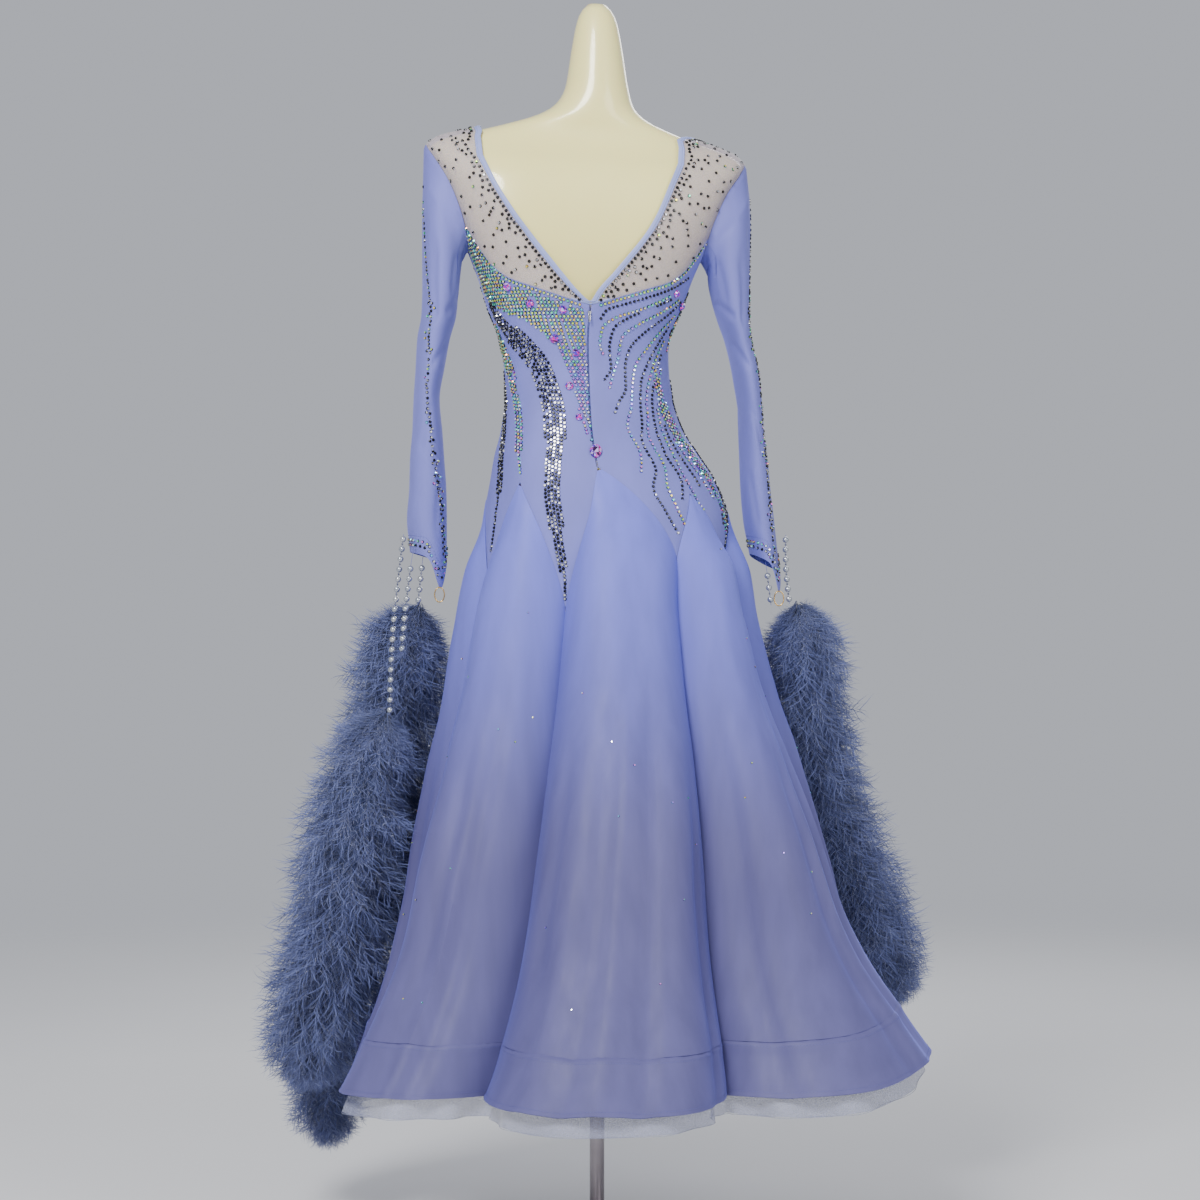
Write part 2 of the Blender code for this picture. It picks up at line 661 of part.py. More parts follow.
def seam_angle_below(index, height):
    """Angle of the seam between a godet and the next one, below the bodice point."""
    godet = GODETS[index % len(GODETS)]
    tip_angle, tip_height = bodice_tip(index)
    hem_angle = godet[8] + 360 * (index // len(GODETS))
    return mix(hem_angle, tip_angle, ((height - HEM) / (tip_height - HEM)) ** 0.7)


def seam_flare(index, height):
    """How far the seam between two godets stands out from the torso."""
    godet = GODETS[index % len(GODETS)]
    tip_height = godet[7]
    at_tip = from_table(FLARE, tip_height)
    share = max((from_table(FLARE, height) - at_tip) / (1 - at_tip), 0.0)
    return (godet[9] - torso_radius(godet[8])) * share


def torso_radius(degrees):
    point = torso_point(degrees, TORSO_BELOW)
    return Vector((point.x, point.y)).length


def skirt_edge(index, side, row):
    """Angle, height and flare on a godet's edge: side 1 is the edge towards the next godet."""
    seam = index if side > 0 else index - 1
    if row == 0:
        first_degrees, first_height = edge_place(apex(index), bodice_tip(seam), 1)
        start_degrees, start_height = apex(index)
        return (
            mix(start_degrees, first_degrees, GODET_START), mix(start_height, first_height, GODET_START), 0.0
        )
    if row <= POINT_ROWS:
        degrees, height = edge_place(apex(index), bodice_tip(seam), row)
        return degrees, height, 0.0
    tip_height = bodice_tip(seam)[1]
    height = mix(tip_height, BAND_TOP, SEAM_HEIGHTS[row - POINT_ROWS - 1])
    return seam_angle_below(seam, height), height, seam_flare(seam, height)


def skirt_point(degrees, height, flare):
    point = torso_point(degrees, max(height, TORSO_BELOW)) + outward(degrees) * flare
    middle, rise, reach = HEM_RISE
    away = (degrees - middle + 180) % 360 - 180
    point.z = height + rise * math.exp(-((away / reach) ** 2)) * (1 - smooth_step(HEM, RISE_TOP, height))
    return point


def lobe_share(share):
    """How far out the cloth stands across a godet, from 0 at its seams to 1 in its middle."""
    return 1 - abs(2 * share - 1) ** 2.4


def column_share(column, columns):
    """Even columns drawn a little towards the seams, where the cloth turns most."""
    even = column / columns
    return mix(even, (1 - math.cos(math.pi * even)) / 2, 0.5)


def lobe_flare(index, share, height, edge_flare):
    godet = GODETS[index % len(GODETS)]
    full = (godet[3] - torso_radius(godet[1])) * from_table(FLARE, height)
    full *= smooth_step(godet[2] + 0.01, godet[2] - 0.10, height)
    fold = godet[5] * math.exp(-(((share - godet[4]) / 0.13) ** 2)) * from_table(FLARE, height)
    return edge_flare + (max(full - edge_flare, 0.0) + fold) * lobe_share(share)


def godet_point(index, row, share):
    near_angle, near_z, near_flare = skirt_edge(index, -1, row)
    far_angle, far_z, far_flare = skirt_edge(index, 1, row)
    height = mix(near_z, far_z, share)
    degrees = mix(near_angle, far_angle, share)
    flare = lobe_flare(index, share, height, mix(near_flare, far_flare, share))
    return skirt_point(degrees, height, flare)


def make_godet(builder, index):
    rows = POINT_ROWS + len(SEAM_HEIGHTS) + 1
    points = []
    for row in range(rows):
        line = [
            godet_point(index, row, column_share(column, GODET_COLUMNS)) for column in range(GODET_COLUMNS + 1)
        ]
        chord = (line[-1] - line[0]).normalized()
        line[0] += chord * SLANT_GAP / 2
        line[-1] -= chord * SLANT_GAP / 2
        points += line
    name = "godet_" + GODETS[index][0]
    builder.cloth(name, points, grid_faces(rows, GODET_COLUMNS + 1), "organza")


def hem_ring(height):
    """A ring round all the godets at a height in the hem band."""
    ring = []
    for index in range(len(GODETS)):
        near_angle = seam_angle_below(index - 1, height)
        far_angle = seam_angle_below(index, height)
        near_flare, far_flare = seam_flare(index - 1, height), seam_flare(index, height)
        for column in range(GODET_COLUMNS):
            share = column_share(column, GODET_COLUMNS)
            flare = lobe_flare(index, share, height, mix(near_flare, far_flare, share))
            ring.append(skirt_point(mix(near_angle, far_angle, share), height, flare))
    return ring


def make_hem_band(builder):
    heights = (BAND_TOP - SLANT_GAP, BAND_MIDDLE, HEM)
    points = [point for height in heights for point in hem_ring(height)]
    columns = len(GODETS) * GODET_COLUMNS
    builder.cloth("hem_band", points, grid_faces(len(heights), columns, closed=True), "band_cloth", BAND_CLOTH)


def make_frill(builder):
    """The sheer frill inside the hem band, its lower edge in small waves that reach below the band."""
    points = []
    for height, lowered, wave in ((FRILL_TOP, 0.0, 0.0), (HEM, HEM - FRILL_HEM, FRILL_WAVE)):
        base = hem_ring(height)
        for step, point in enumerate(base):
            normal = (base[(step + 1) % len(base)] - base[step - 1]).cross(Vector((0, 0, -1))).normalized()
            ripple = wave * (-1) ** step
            place = point - normal * (FRILL_INSET - ripple)
            points.append(place - Vector((0, 0, lowered)))
    faces = grid_faces(2, len(GODETS) * GODET_COLUMNS, closed=True)
    builder.cloth("hem_frill", points, faces, "crin", FRILL_CLOTH)


# ---------------------------------------------------------------- sleeves


def armhole_places():
    """Places round the armhole from its back corner, over the top to the front, then back under the arm."""
    places = [upper_armhole_place(step) for step in range(ARMHOLE_UPPER_STEPS + 1)]
    for degrees in (99, 90, 81):
        places.append((degrees, lower_armhole_height(degrees)))
    return [
        (mix(ARMHOLE_ANGLE, degrees, ARMHOLE_INSET), mix(ARMHOLE_HEIGHT, height, ARMHOLE_INSET))
        for degrees, height in places
    ]


def sleeve_ring(row, side, turns):
    outer_x, outer_z, inner_x, inner_z, y, depth = row
    outer, inner = Vector((side * outer_x, y, outer_z)), Vector((side * inner_x, y, inner_z))
    middle, reach = (outer + inner) / 2, (outer - inner) / 2
    return [middle + reach * math.cos(turn) + Vector((0, depth * math.sin(turn), 0)) for turn in turns]


def make_sleeve(builder, name, side, table, cuff_point):
    places = armhole_places()
    slant = math.radians(ARMHOLE_SLANT)
    along = Vector((side * math.cos(slant), 0, -math.sin(slant)))
    across = Vector((side * math.sin(slant), 0, math.cos(slant)))
    armhole = [torso_point(side * degrees, height) + along * SEAM_GAP for degrees, height in places]
    middle = sum(armhole, Vector()) / len(armhole)
    turns = []
    for point in armhole:
        offset = point - middle
        turns.append(math.atan2(offset.y / 0.060, offset.dot(across) / 0.062))
    lip = [point + along * ARMHOLE_LIP for point in armhole]
    rings = [armhole, lip]
    even = [turns[0] - 2 * math.pi * step / len(turns) for step in range(len(turns))]
    even = unwrapped(turns, even)
    for number, row in enumerate(table):
        share = min(number / 4, 1.0)
        blended = [mix(own, regular, share) for own, regular in zip(turns, even)]
        rings.append(sleeve_ring(row, side, blended))
    add_cuff_point(rings, even, cuff_point)
    if side < 0:
        rings = [list(reversed(ring)) for ring in rings]
    points = [point for ring in rings for point in ring]
    faces = [tuple(reversed(face)) for face in grid_faces(len(rings), len(turns), closed=True)]
    builder.cloth(name, points, orient(points, faces, middle_of(rings[5])), "stretch_cloth")
    return rings[-1]


def middle_of(ring):
    return sum(ring, Vector()) / len(ring)


def orient(points, faces, inside):
    """The faces turned, if need be, so that the one nearest to an inside point looks away from it."""
    face = min(faces, key=lambda corners: (points[corners[0]] - inside).length)
    a, b, c = (points[corner] for corner in face[:3])
    if (b - a).cross(c - a).dot(a - inside) < 0:
        return [tuple(reversed(corners)) for corners in faces]
    return faces


def unwrapped(turns, even):
    """The even turns moved by whole turns so that each lies nearest to its own armhole turn."""
    return [
        regular + 2 * math.pi * round((own - regular) / (2 * math.pi)) for own, regular in zip(turns, even)
    ]


def add_cuff_point(rings, turns, cuff_point):
    centre, dip, width = cuff_point
    for share, ring in ((1.0, rings[-1]), (0.12, rings[-2])):
        for point, turn in zip(ring, turns):
            away = (math.degrees(turn) - centre + 180) % 360 - 180
            point.z -= share * dip * math.exp(-((away / width) ** 2))


def make_finger_loop(builder, name, cuff_ring):
    tip = min(cuff_ring, key=lambda point: point.z)
    shape = bmesh.new()
    sides, wire_sides = 14, 5
    rings = []
    for step in range(sides):
        turn = 2 * math.pi * step / sides
        away = Vector((math.sin(turn), 0, math.cos(turn) * LOOP_STRETCH))
        ring = []
        for corner in range(wire_sides):
            lean = 2 * math.pi * corner / wire_sides
            offset = away.normalized() * (LOOP_WIRE * math.cos(lean)) + Vector((0, LOOP_WIRE * math.sin(lean), 0))
            ring.append(shape.verts.new(away * LOOP_RADIUS + offset))
        rings.append(ring)
    for step, ring in enumerate(rings):
        after = rings[(step + 1) % sides]
        for corner in range(wire_sides):
            beside = (corner + 1) % wire_sides
            shape.faces.new((ring[corner], ring[beside], after[beside], after[corner]))
    obj = builder.from_bmesh(name, shape, "gold_wire")
    drop = LOOP_RADIUS * LOOP_STRETCH + LOOP_WIRE + SEAM_GAP
    obj.location = (tip.x, tip.y, tip.z - drop)


# ---------------------------------------------------------------- pearls, boas and stones


def make_pearls(builder, name, start, end, sag):
    start, end = Vector(start), Vector(end)
    along = (end - start).normalized()
    side_way = along.cross(Vector((0, 1, 0))).normalized()
    front_way = along.cross(side_way)
    beads = int((end - start).length / PEARL_PITCH)
    rings = []
    for bead in range(beads):
        for offset, radius in PEARL_PROFILE:
            share = (bead + 0.5 + offset) / beads
            middle = start.lerp(end, share) + Vector((sag, 0, 0)) * math.sin(math.pi * share)
            rings.append([
                middle + side_way * (radius * math.cos(turn)) + front_way * (radius * math.sin(turn))
                for turn in (2 * math.pi * side / PEARL_SIDES for side in range(PEARL_SIDES))
            ])
    closed_body(builder, name, rings, "pearl")


def make_boa(builder, name, table):
    rings = []
    for number, (x, y, z, radius) in enumerate(table):
        before = Vector(table[max(number - 1, 0)][:3])
        after = Vector(table[min(number + 1, len(table) - 1)][:3])
        along = (after - before).normalized()
        side_way = along.cross(Vector((0, 1, 0))).normalized()
        front_way = along.cross(side_way)
        ring = []
        for side in range(BOA_SIDES):
            turn = 2 * math.pi * side / BOA_SIDES
            lump = 1 + BOA_LUMP * math.sin(3 * turn + 1.7 * number) + BOA_LUMP * math.sin(2.3 * number)
            ring.append(
                Vector((x, y, z)) + (side_way * math.cos(turn) + front_way * math.sin(turn)) * radius * lump
            )
        rings.append(ring)
    closed_body(builder, name, rings, "marabou")


def make_stone(builder, name, degrees, height, size, stretch=1.0):
    """A cut stone that lies just over the bodice: a low facetted dome."""
    shape = bmesh.new()
    bmesh.ops.create_cone(
        shape, cap_ends=True, segments=STONE_SIDES, radius1=size / 2, radius2=size * 0.3, depth=size * 0.3
    )
    bmesh.ops.scale(shape, vec=(1, stretch, 1), verts=shape.verts)
    obj = builder.from_bmesh(name, shape, "stone_glass")
    normal = torso_normal(degrees, height)
    obj.rotation_mode = "QUATERNION"
    obj.rotation_quaternion = normal.to_track_quat("Z", "Y")
    obj.location = torso_point(degrees, height) + normal * (STONE_LIFT + size * 0.15)


# ---------------------------------------------------------------- zip


def zip_angle(height):
    share = (bodice_top(0) - height) / (bodice_top(0) - GODETS[0][2])
    return mix(0.0, GODETS[0][1], share)


def make_zip_tape(builder):
    """The tape behind the centre back seam, with the coil standing in the gap between the two panels."""
    outline = [
        (-TAPE_HALF, TAPE_DEPTH), (TAPE_HALF, TAPE_DEPTH), (TAPE_HALF, TAPE_TOP), (COIL_HALF, TAPE_TOP),
        (COIL_HALF, COIL_SUNK), (-COIL_HALF, COIL_SUNK), (-COIL_HALF, TAPE_TOP), (-TAPE_HALF, TAPE_TOP),
    ]
    rings = []
    for row in range(ZIP_ROWS + 1):
        height = mix(ZIP_TOP - 6 * MM, ZIP_BOTTOM, row / ZIP_ROWS)
        middle = zip_angle(height)
        ring = []
        for across, depth in outline:
            degrees = nudged(middle, height, across)
            ring.append(torso_point(degrees, height) - torso_normal(degrees, height) * depth)
        rings.append(ring)
    closed_body(builder, "zip_tape", rings, "zip_plastic")


def slider_place():
    """The middle of the slider's face on the gown's side."""
    degrees = zip_angle(SLIDER_HEIGHT)
    normal = torso_normal(degrees, SLIDER_HEIGHT)
    return torso_point(degrees, SLIDER_HEIGHT) + normal * SLIDER_LIFT


def pull_axis():
    """The middle of the pull's top bar, which is the joint's axis along X."""
    width, depth, height = SLIDER_SIZE
    base = slider_place()
    return base + Vector((0, depth + 1.25 * MM, height * 0.10))


def make_slider(builder):
    width, depth, height = SLIDER_SIZE
    base = slider_place()
    shape = bmesh.new()
    bmesh.ops.create_cube(shape, size=1)
    bmesh.ops.scale(shape, vec=(width, depth, height), verts=shape.verts)
    for vert in shape.verts:
        if vert.co.z < 0:
            vert.co.x *= 0.55
    body = builder.from_bmesh("zip_slider", shape, "zip_metal")
    body.location = base + Vector((0, depth / 2, 0))
    soften = body.modifiers.new("soften", "BEVEL")
    soften.width = 0.5 * MM
    soften.segments = 1
    bail = make_bail(builder)
    join = body.modifiers.new("bail", "BOOLEAN")
    join.operation = "UNION"
    join.object = bail


def make_bail(builder):
    """The slider's half ring in the YZ plane, which the pull's top bar hangs in."""
    centre = pull_axis()
    shape = bmesh.new()
    steps, corners = 10, 6
    rings = []
    for step in range(steps + 1):
        turn = math.radians(mix(-BAIL_REACH, BAIL_REACH, step / steps))
        away = Vector((0, math.cos(turn), math.sin(turn)))
        ring = []
        for corner in range(corners):
            lean = 2 * math.pi * corner / corners
            ring.append(shape.verts.new(
                away * (BAIL_RADIUS + BAIL_WIRE * math.cos(lean)) + Vector((BAIL_WIRE * math.sin(lean), 0, 0))
            ))
        rings.append(ring)
    for ring, after in zip(rings, rings[1:]):
        for corner in range(corners):
            beside = (corner + 1) % corners
            shape.faces.new((ring[corner], ring[beside], after[beside], after[corner]))
    shape.faces.new(rings[0])
    shape.faces.new(rings[-1])
    bail = builder.from_bmesh("bail_tool", shape, "zip_metal")
    bail.location = centre
    builder.collection.objects.unlink(bail)
    tools = bpy.data.collections.new("tools")
    bpy.context.scene.collection.children.link(tools)
    tools.objects.link(bail)
    bail.hide_render = True
    return bail


def make_pull(builder):
    """A flat tab hanging from its top bar; its origin is on the joint's axis."""
    curve = bpy.data.curves.new("zip_pull", "CURVE")
    curve.dimensions = "2D"
    curve.fill_mode = "BOTH"
    curve.extrude = PULL_THICKNESS / 2
    half, top, bottom = PULL_WIDTH / 2, PULL_BAR / 2, -PULL_LENGTH
    outline = [
        (-half, top), (half, top), (half, bottom * 0.55), (half * 0.75, bottom * 0.92), (0, bottom),
        (-half * 0.75, bottom * 0.92), (-half, bottom * 0.55),
    ]
    hole_half, hole_bottom = PULL_HOLE[0] / 2, -PULL_BAR / 2 - PULL_HOLE[1]
    hole = [(-hole_half, -PULL_BAR / 2), (hole_half, -PULL_BAR / 2), (hole_half, hole_bottom), (-hole_half, hole_bottom)]
    for corners in (outline, hole):
        spline = curve.splines.new("POLY")
        spline.points.add(len(corners) - 1)
        for point, (x, y) in zip(spline.points, corners):
            point.co = (x, y, 0, 1)
        spline.use_cyclic_u = True
    obj = builder.add("zip_pull", curve, "zip_metal")
    obj.rotation_euler.x = math.radians(90)
    obj.location = pull_axis()


# ---------------------------------------------------------------- the part


def build():
    clear_scene()
    builder = Builder()
    make_form(builder)
    make_stand(builder)
    make_bodice_panel(builder, "bodice_back_left", 0, 2)
    make_bodice_panel(builder, "bodice_front", 2, 6)
    make_bodice_panel(builder, "bodice_back_right", 6, 8)
    make_yoke(builder, "yoke_left", 1)
    make_yoke(builder, "yoke_right", -1)
    make_binding(builder)
    for index in range(len(GODETS)):
        make_godet(builder, index)
    make_hem_band(builder)
    make_frill(builder)
    left_cuff = make_sleeve(builder, "sleeve_left", 1, LEFT_SLEEVE, LEFT_CUFF_POINT)
    right_cuff = make_sleeve(builder, "sleeve_right", -1, RIGHT_SLEEVE, RIGHT_CUFF_POINT)
    make_finger_loop(builder, "finger_loop_left", left_cuff)
    make_finger_loop(builder, "finger_loop_right", right_cuff)
    for name, start, end, sag in PEARLS:
        make_pearls(builder, name, start, end, sag)
    for name, table in BOAS:
        make_boa(builder, name, table)
    for number, (degrees, height, size) in enumerate(STONES, 1):
        make_stone(builder, f"stone_{number}", degrees, height, size)
    make_stone(builder, "centre_stone", *CENTRE_STONE, CENTRE_STONE_STRETCH)
    make_zip_tape(builder)
    make_slider(builder)
    make_pull(builder)


build()
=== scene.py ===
"""A ballroom gown on a limbless dress form, seen from behind in soft studio light. Metres, +Z up.

The wearer faces -Y, so the gown's back faces +Y and the wearer's left is +X. Angles are in degrees from the
back (+Y) towards the wearer's left (+X). Places on a cloth piece are shares: across, then down.
"""

import collections
import contextlib
import functools
import math
import random

import bpy
import numpy as np
from mathutils import Matrix, Vector, noise


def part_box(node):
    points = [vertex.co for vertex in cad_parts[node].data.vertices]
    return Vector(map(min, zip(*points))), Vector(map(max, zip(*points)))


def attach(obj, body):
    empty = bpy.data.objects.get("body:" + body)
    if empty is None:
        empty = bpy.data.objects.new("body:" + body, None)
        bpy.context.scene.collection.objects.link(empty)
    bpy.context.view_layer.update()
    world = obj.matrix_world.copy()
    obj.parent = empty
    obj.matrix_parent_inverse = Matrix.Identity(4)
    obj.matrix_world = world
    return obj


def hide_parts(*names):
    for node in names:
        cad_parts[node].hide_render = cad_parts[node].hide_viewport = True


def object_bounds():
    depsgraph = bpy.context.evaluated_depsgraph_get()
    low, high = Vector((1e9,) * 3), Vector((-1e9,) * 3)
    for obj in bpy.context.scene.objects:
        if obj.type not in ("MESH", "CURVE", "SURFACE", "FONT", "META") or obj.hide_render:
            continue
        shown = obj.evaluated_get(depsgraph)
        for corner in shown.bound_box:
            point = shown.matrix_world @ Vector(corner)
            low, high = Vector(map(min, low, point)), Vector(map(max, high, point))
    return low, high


MM = 0.001
GOWN_BODY = "gown_and_form"
PULL_BODY = "pull_tab"

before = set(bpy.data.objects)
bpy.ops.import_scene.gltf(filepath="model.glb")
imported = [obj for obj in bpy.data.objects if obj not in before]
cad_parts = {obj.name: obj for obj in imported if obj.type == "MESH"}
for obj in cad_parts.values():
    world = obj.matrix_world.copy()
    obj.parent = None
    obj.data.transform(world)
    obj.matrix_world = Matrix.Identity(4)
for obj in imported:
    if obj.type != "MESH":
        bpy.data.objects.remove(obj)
FRAME_BOX = [list(corner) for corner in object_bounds()]

# ---------------------------------------------------------------- sizes

SEAM_GAP = 0.2 * MM
SLANT_GAP = 0.3 * MM
CLOTH = 1.1 * MM
BAND_CLOTH = 1.7 * MM
NET = 0.8 * MM
FORM_CLEARANCE = 5.0 * MM
BINDING_WIDTH = 8 * MM

SHOULDER_TILT = 0.05
TILT_FROM = 1.15
TILT_TO = 1.40

# Cloth over the torso: height, half width, depth to the back and to the front, sideways place, squareness
TORSO = [
    (0.780, 0.154, 0.112, 0.100, -0.004, 2.1),
    (0.830, 0.160, 0.118, 0.102, -0.005, 2.1),
    (0.890, 0.161, 0.119, 0.101, -0.009, 2.1),
    (0.950, 0.159, 0.115, 0.098, -0.012, 2.1),
    (1.000, 0.146, 0.107, 0.094, -0.007, 2.2),
    (1.030, 0.134, 0.097, 0.090, 0.000, 2.2),
    (1.066, 0.118, 0.085, 0.086, 0.007, 2.2),
    (1.105, 0.109, 0.077, 0.084, 0.011, 2.2),
    (1.145, 0.107, 0.074, 0.087, 0.014, 2.2),
    (1.183, 0.111, 0.078, 0.096, 0.016, 2.3),
    (1.222, 0.126, 0.086, 0.109, 0.016, 2.4),
    (1.261, 0.139, 0.092, 0.116, 0.016, 2.5),
    (1.300, 0.155, 0.095, 0.112, 0.016, 2.7),
    (1.340, 0.172, 0.094, 0.100, 0.016, 2.9),
    (1.380, 0.190, 0.088, 0.086, 0.016, 3.0),
    (1.405, 0.203, 0.076, 0.070, 0.015, 3.0),
    (1.421, 0.208, 0.062, 0.054, 0.015, 2.9),
    (1.434, 0.195, 0.052, 0.046, 0.014, 2.7),
    (1.445, 0.162, 0.048, 0.043, 0.013, 2.5),
    (1.452, 0.138, 0.047, 0.043, 0.012, 2.3),
    (1.462, 0.106, 0.049, 0.045, 0.010, 2.2),
    (1.473, 0.076, 0.050, 0.047, 0.007, 2.1),
    (1.488, 0.055, 0.050, 0.048, 0.003, 2.0),
    (1.510, 0.046, 0.048, 0.048, 0.000, 2.0),
    (1.560, 0.038, 0.042, 0.042, 0.000, 2.0),
    (1.600, 0.030, 0.033, 0.033, 0.000, 2.0),
    (1.618, 0.021, 0.023, 0.023, 0.000, 2.0),
    (1.626, 0.010, 0.011, 0.011, 0.000, 2.0),
]

# Neckline, on the left side (1) and the right (-1), and the seam under the yoke: angle, height
BACK_NECKLINE = {
    1: [
        (0, 1.2245), (4.2, 1.2374), (10.7, 1.2606), (20.9, 1.3066), (28.9, 1.3527), (31.6, 1.3763), (33.0, 1.401),
        (37.4, 1.4309), (52, 1.4435), (75, 1.450), (90, 1.452),
    ],
    -1: [
        (0, 1.2245), (2.5, 1.2405), (8.2, 1.2625), (13.6, 1.2875), (18.2, 1.3131), (20.9, 1.3386), (22.2, 1.3643),
        (23.3, 1.3903), (25.0, 1.4179), (33, 1.440), (50, 1.449), (75, 1.4525), (90, 1.452),
    ],
}
FRONT_NECKLINE = [(90, 1.452), (125, 1.441), (142, 1.410), (150, 1.376), (160, 1.338), (170, 1.308), (180, 1.290)]
BACK_YOKE_SEAM = [
    (0, 1.2205), (7, 1.2263), (17, 1.2343), (31, 1.2443), (45, 1.2538), (58, 1.2715), (65, 1.2915), (72, 1.3185),
]
FRONT_YOKE_SEAM = [(108, 1.3185), (115, 1.295), (123, 1.284), (140, 1.280), (160, 1.283), (180, 1.2885)]

ARMHOLE_ANGLE = 90
ARMHOLE_HEIGHT = 1.357
ARMHOLE_HALF_ANGLE = 22
ARMHOLE_HALF_HEIGHT = 0.067
ARMHOLE_CORNER = 18
ARMHOLE_UPPER_STEPS = 10
ARMHOLE_STEPS = 14
ARMHOLE_INSET = 0.984
ARMHOLE_SLANT = 21
ARMHOLE_LIP = 2 * MM
# Along the body and across it
ARMHOLE_RADII = (0.060, 0.062)
# Neckline angle matched to each step round the top of the armhole, on each side
NECK_MATCH = {
    1: [(0, 24), (1, 26), (2, 29.8), (3, 33.5), (4, 58), (5, 90), (6, 124), (7, 138), (8, 143), (9, 147), (10, 151)],
    -1: [
        (0, 18.5), (1, 20.6), (2, 22.2), (3, 24.3), (4, 50), (5, 90), (6, 124), (7, 138), (8, 143), (9, 147), (10, 151),
    ],
}

# A skirt godet: its name, the angle and height of its point, its hem radius, where across it a fold rises (0 to 1)
# and how high, then the seam to the next godet: angle and height of the bodice point, angle and radius at the hem
Godet = collections.namedtuple("Godet", (
    "name", "apex_angle", "apex_height", "hem_radius", "fold_place", "fold_height", "tip_angle", "tip_height",
    "seam_angle", "seam_radius",
))
GODETS = [Godet(*row) for row in (
    ("back", 4, 1.014, 0.400, 0.24, 0.016, 19, 0.829, 31, 0.283),
    ("back_left", 48, 0.995, 0.376, 0.60, 0.008, 70, 0.862, 74, 0.268),
    ("left", 92, 0.978, 0.314, 0.40, 0.006, 114, 0.860, 113, 0.255),
    ("front_left", 136, 0.990, 0.372, 0.35, 0.010, 159, 0.845, 157, 0.272),
    ("front", 181, 1.004, 0.395, 0.66, 0.012, 203, 0.842, 204, 0.275),
    ("front_right", 226, 0.990, 0.410, 0.30, 0.009, 248, 0.860, 240, 0.300),
    ("right", 269, 0.978, 0.412, 0.55, 0.007, 293, 0.880, 278, 0.345),
    ("back_right", 320, 0.981, 0.442, 0.70, 0.010, 330, 0.894, 337, 0.297),
)]
POINT_ROWS = 5
# The share of a godet's length that lies beside the bodice points
POINT_SHARE = 0.22
GODET_START = 0.16
TIP_END = 0.04
# Powers that bend the seams beside and below the bodice points, and that round a godet's section
EDGE_BOW = 1.4
SEAM_BOW = 0.7
LOBE_SQUARENESS = 2.4
FOLD_WIDTH = 0.13
BAND_TOP = 0.303
HEM = 0.240
TORSO_BELOW = 0.830
# The hem rises towards one side: angle of the highest place, its rise, and how far round it reaches
HEM_RISE = (288, 0.042, 28)
RISE_TOP = 0.600
SECTOR_ANGLE = 45

# How far the skirt has flared out at each height: height, share of the hem's flare
FLARE = [
    (0.240, 1.00), (0.270, 0.93), (0.303, 0.86), (0.330, 0.80), (0.380, 0.70), (0.430, 0.63), (0.510, 0.55),
    (0.585, 0.465), (0.660, 0.37), (0.700, 0.31), (0.740, 0.26), (0.790, 0.21), (0.850, 0.15), (0.900, 0.10),
    (0.950, 0.045), (1.020, 0.0),
]

FRILL_TOP = 0.262
FRILL_HEM = 0.213
FRILL_INSET = 11 * MM

# Sleeves, down from the armhole: outer edge x and z, inner edge x and z, y, half depth
LEFT_SLEEVE = [
    (0.2260, 1.385, 0.1745, 1.283, 0.000, 0.050),
    (0.2275, 1.340, 0.1765, 1.274, -0.001, 0.052),
    (0.2270, 1.295, 0.1780, 1.260, -0.002, 0.053),
    (0.2265, 1.250, 0.1800, 1.238, -0.003, 0.054),
    (0.2275, 1.215, 0.1830, 1.212, -0.004, 0.053),
    (0.2330, 1.183, 0.1910, 1.183, -0.006, 0.051),
    (0.2355, 1.144, 0.1980, 1.144, -0.008, 0.049),
    (0.2380, 1.105, 0.2040, 1.105, -0.010, 0.047),
    (0.2390, 1.066, 0.2010, 1.066, -0.012, 0.045),
    (0.2420, 1.027, 0.1980, 1.027, -0.014, 0.043),
    (0.2430, 0.988, 0.1950, 0.988, -0.016, 0.041),
    (0.2460, 0.949, 0.1940, 0.949, -0.018, 0.040),
    (0.2425, 0.907, 0.1940, 0.894, -0.020, 0.041),
]
RIGHT_SLEEVE = [
    (0.1990, 1.372, 0.1425, 1.274, 0.000, 0.050),
    (0.2000, 1.328, 0.1445, 1.265, -0.001, 0.052),
    (0.2000, 1.285, 0.1475, 1.250, -0.002, 0.053),
    (0.2000, 1.244, 0.1520, 1.231, -0.003, 0.054),
    (0.2000, 1.212, 0.1590, 1.209, -0.004, 0.053),
    (0.2020, 1.183, 0.1690, 1.183, -0.006, 0.051),
    (0.2110, 1.144, 0.1790, 1.144, -0.008, 0.049),
    (0.2160, 1.105, 0.1850, 1.105, -0.010, 0.047),
    (0.2200, 1.066, 0.1875, 1.066, -0.012, 0.045),
    (0.2250, 1.027, 0.1890, 1.027, -0.014, 0.043),
    (0.2290, 0.988, 0.1910, 0.988, -0.016, 0.041),
    (0.2350, 0.949, 0.1945, 0.949, -0.018, 0.040),
    (0.2430, 0.884, 0.2030, 0.905, -0.020, 0.041),
]
# The cuff's point: angle round the cuff (0 is the outer edge, 90 the back), how far it dips, how wide it is
LEFT_CUFF_POINT = (128, 0.036, 26)
RIGHT_CUFF_POINT = (40, 0.030, 26)

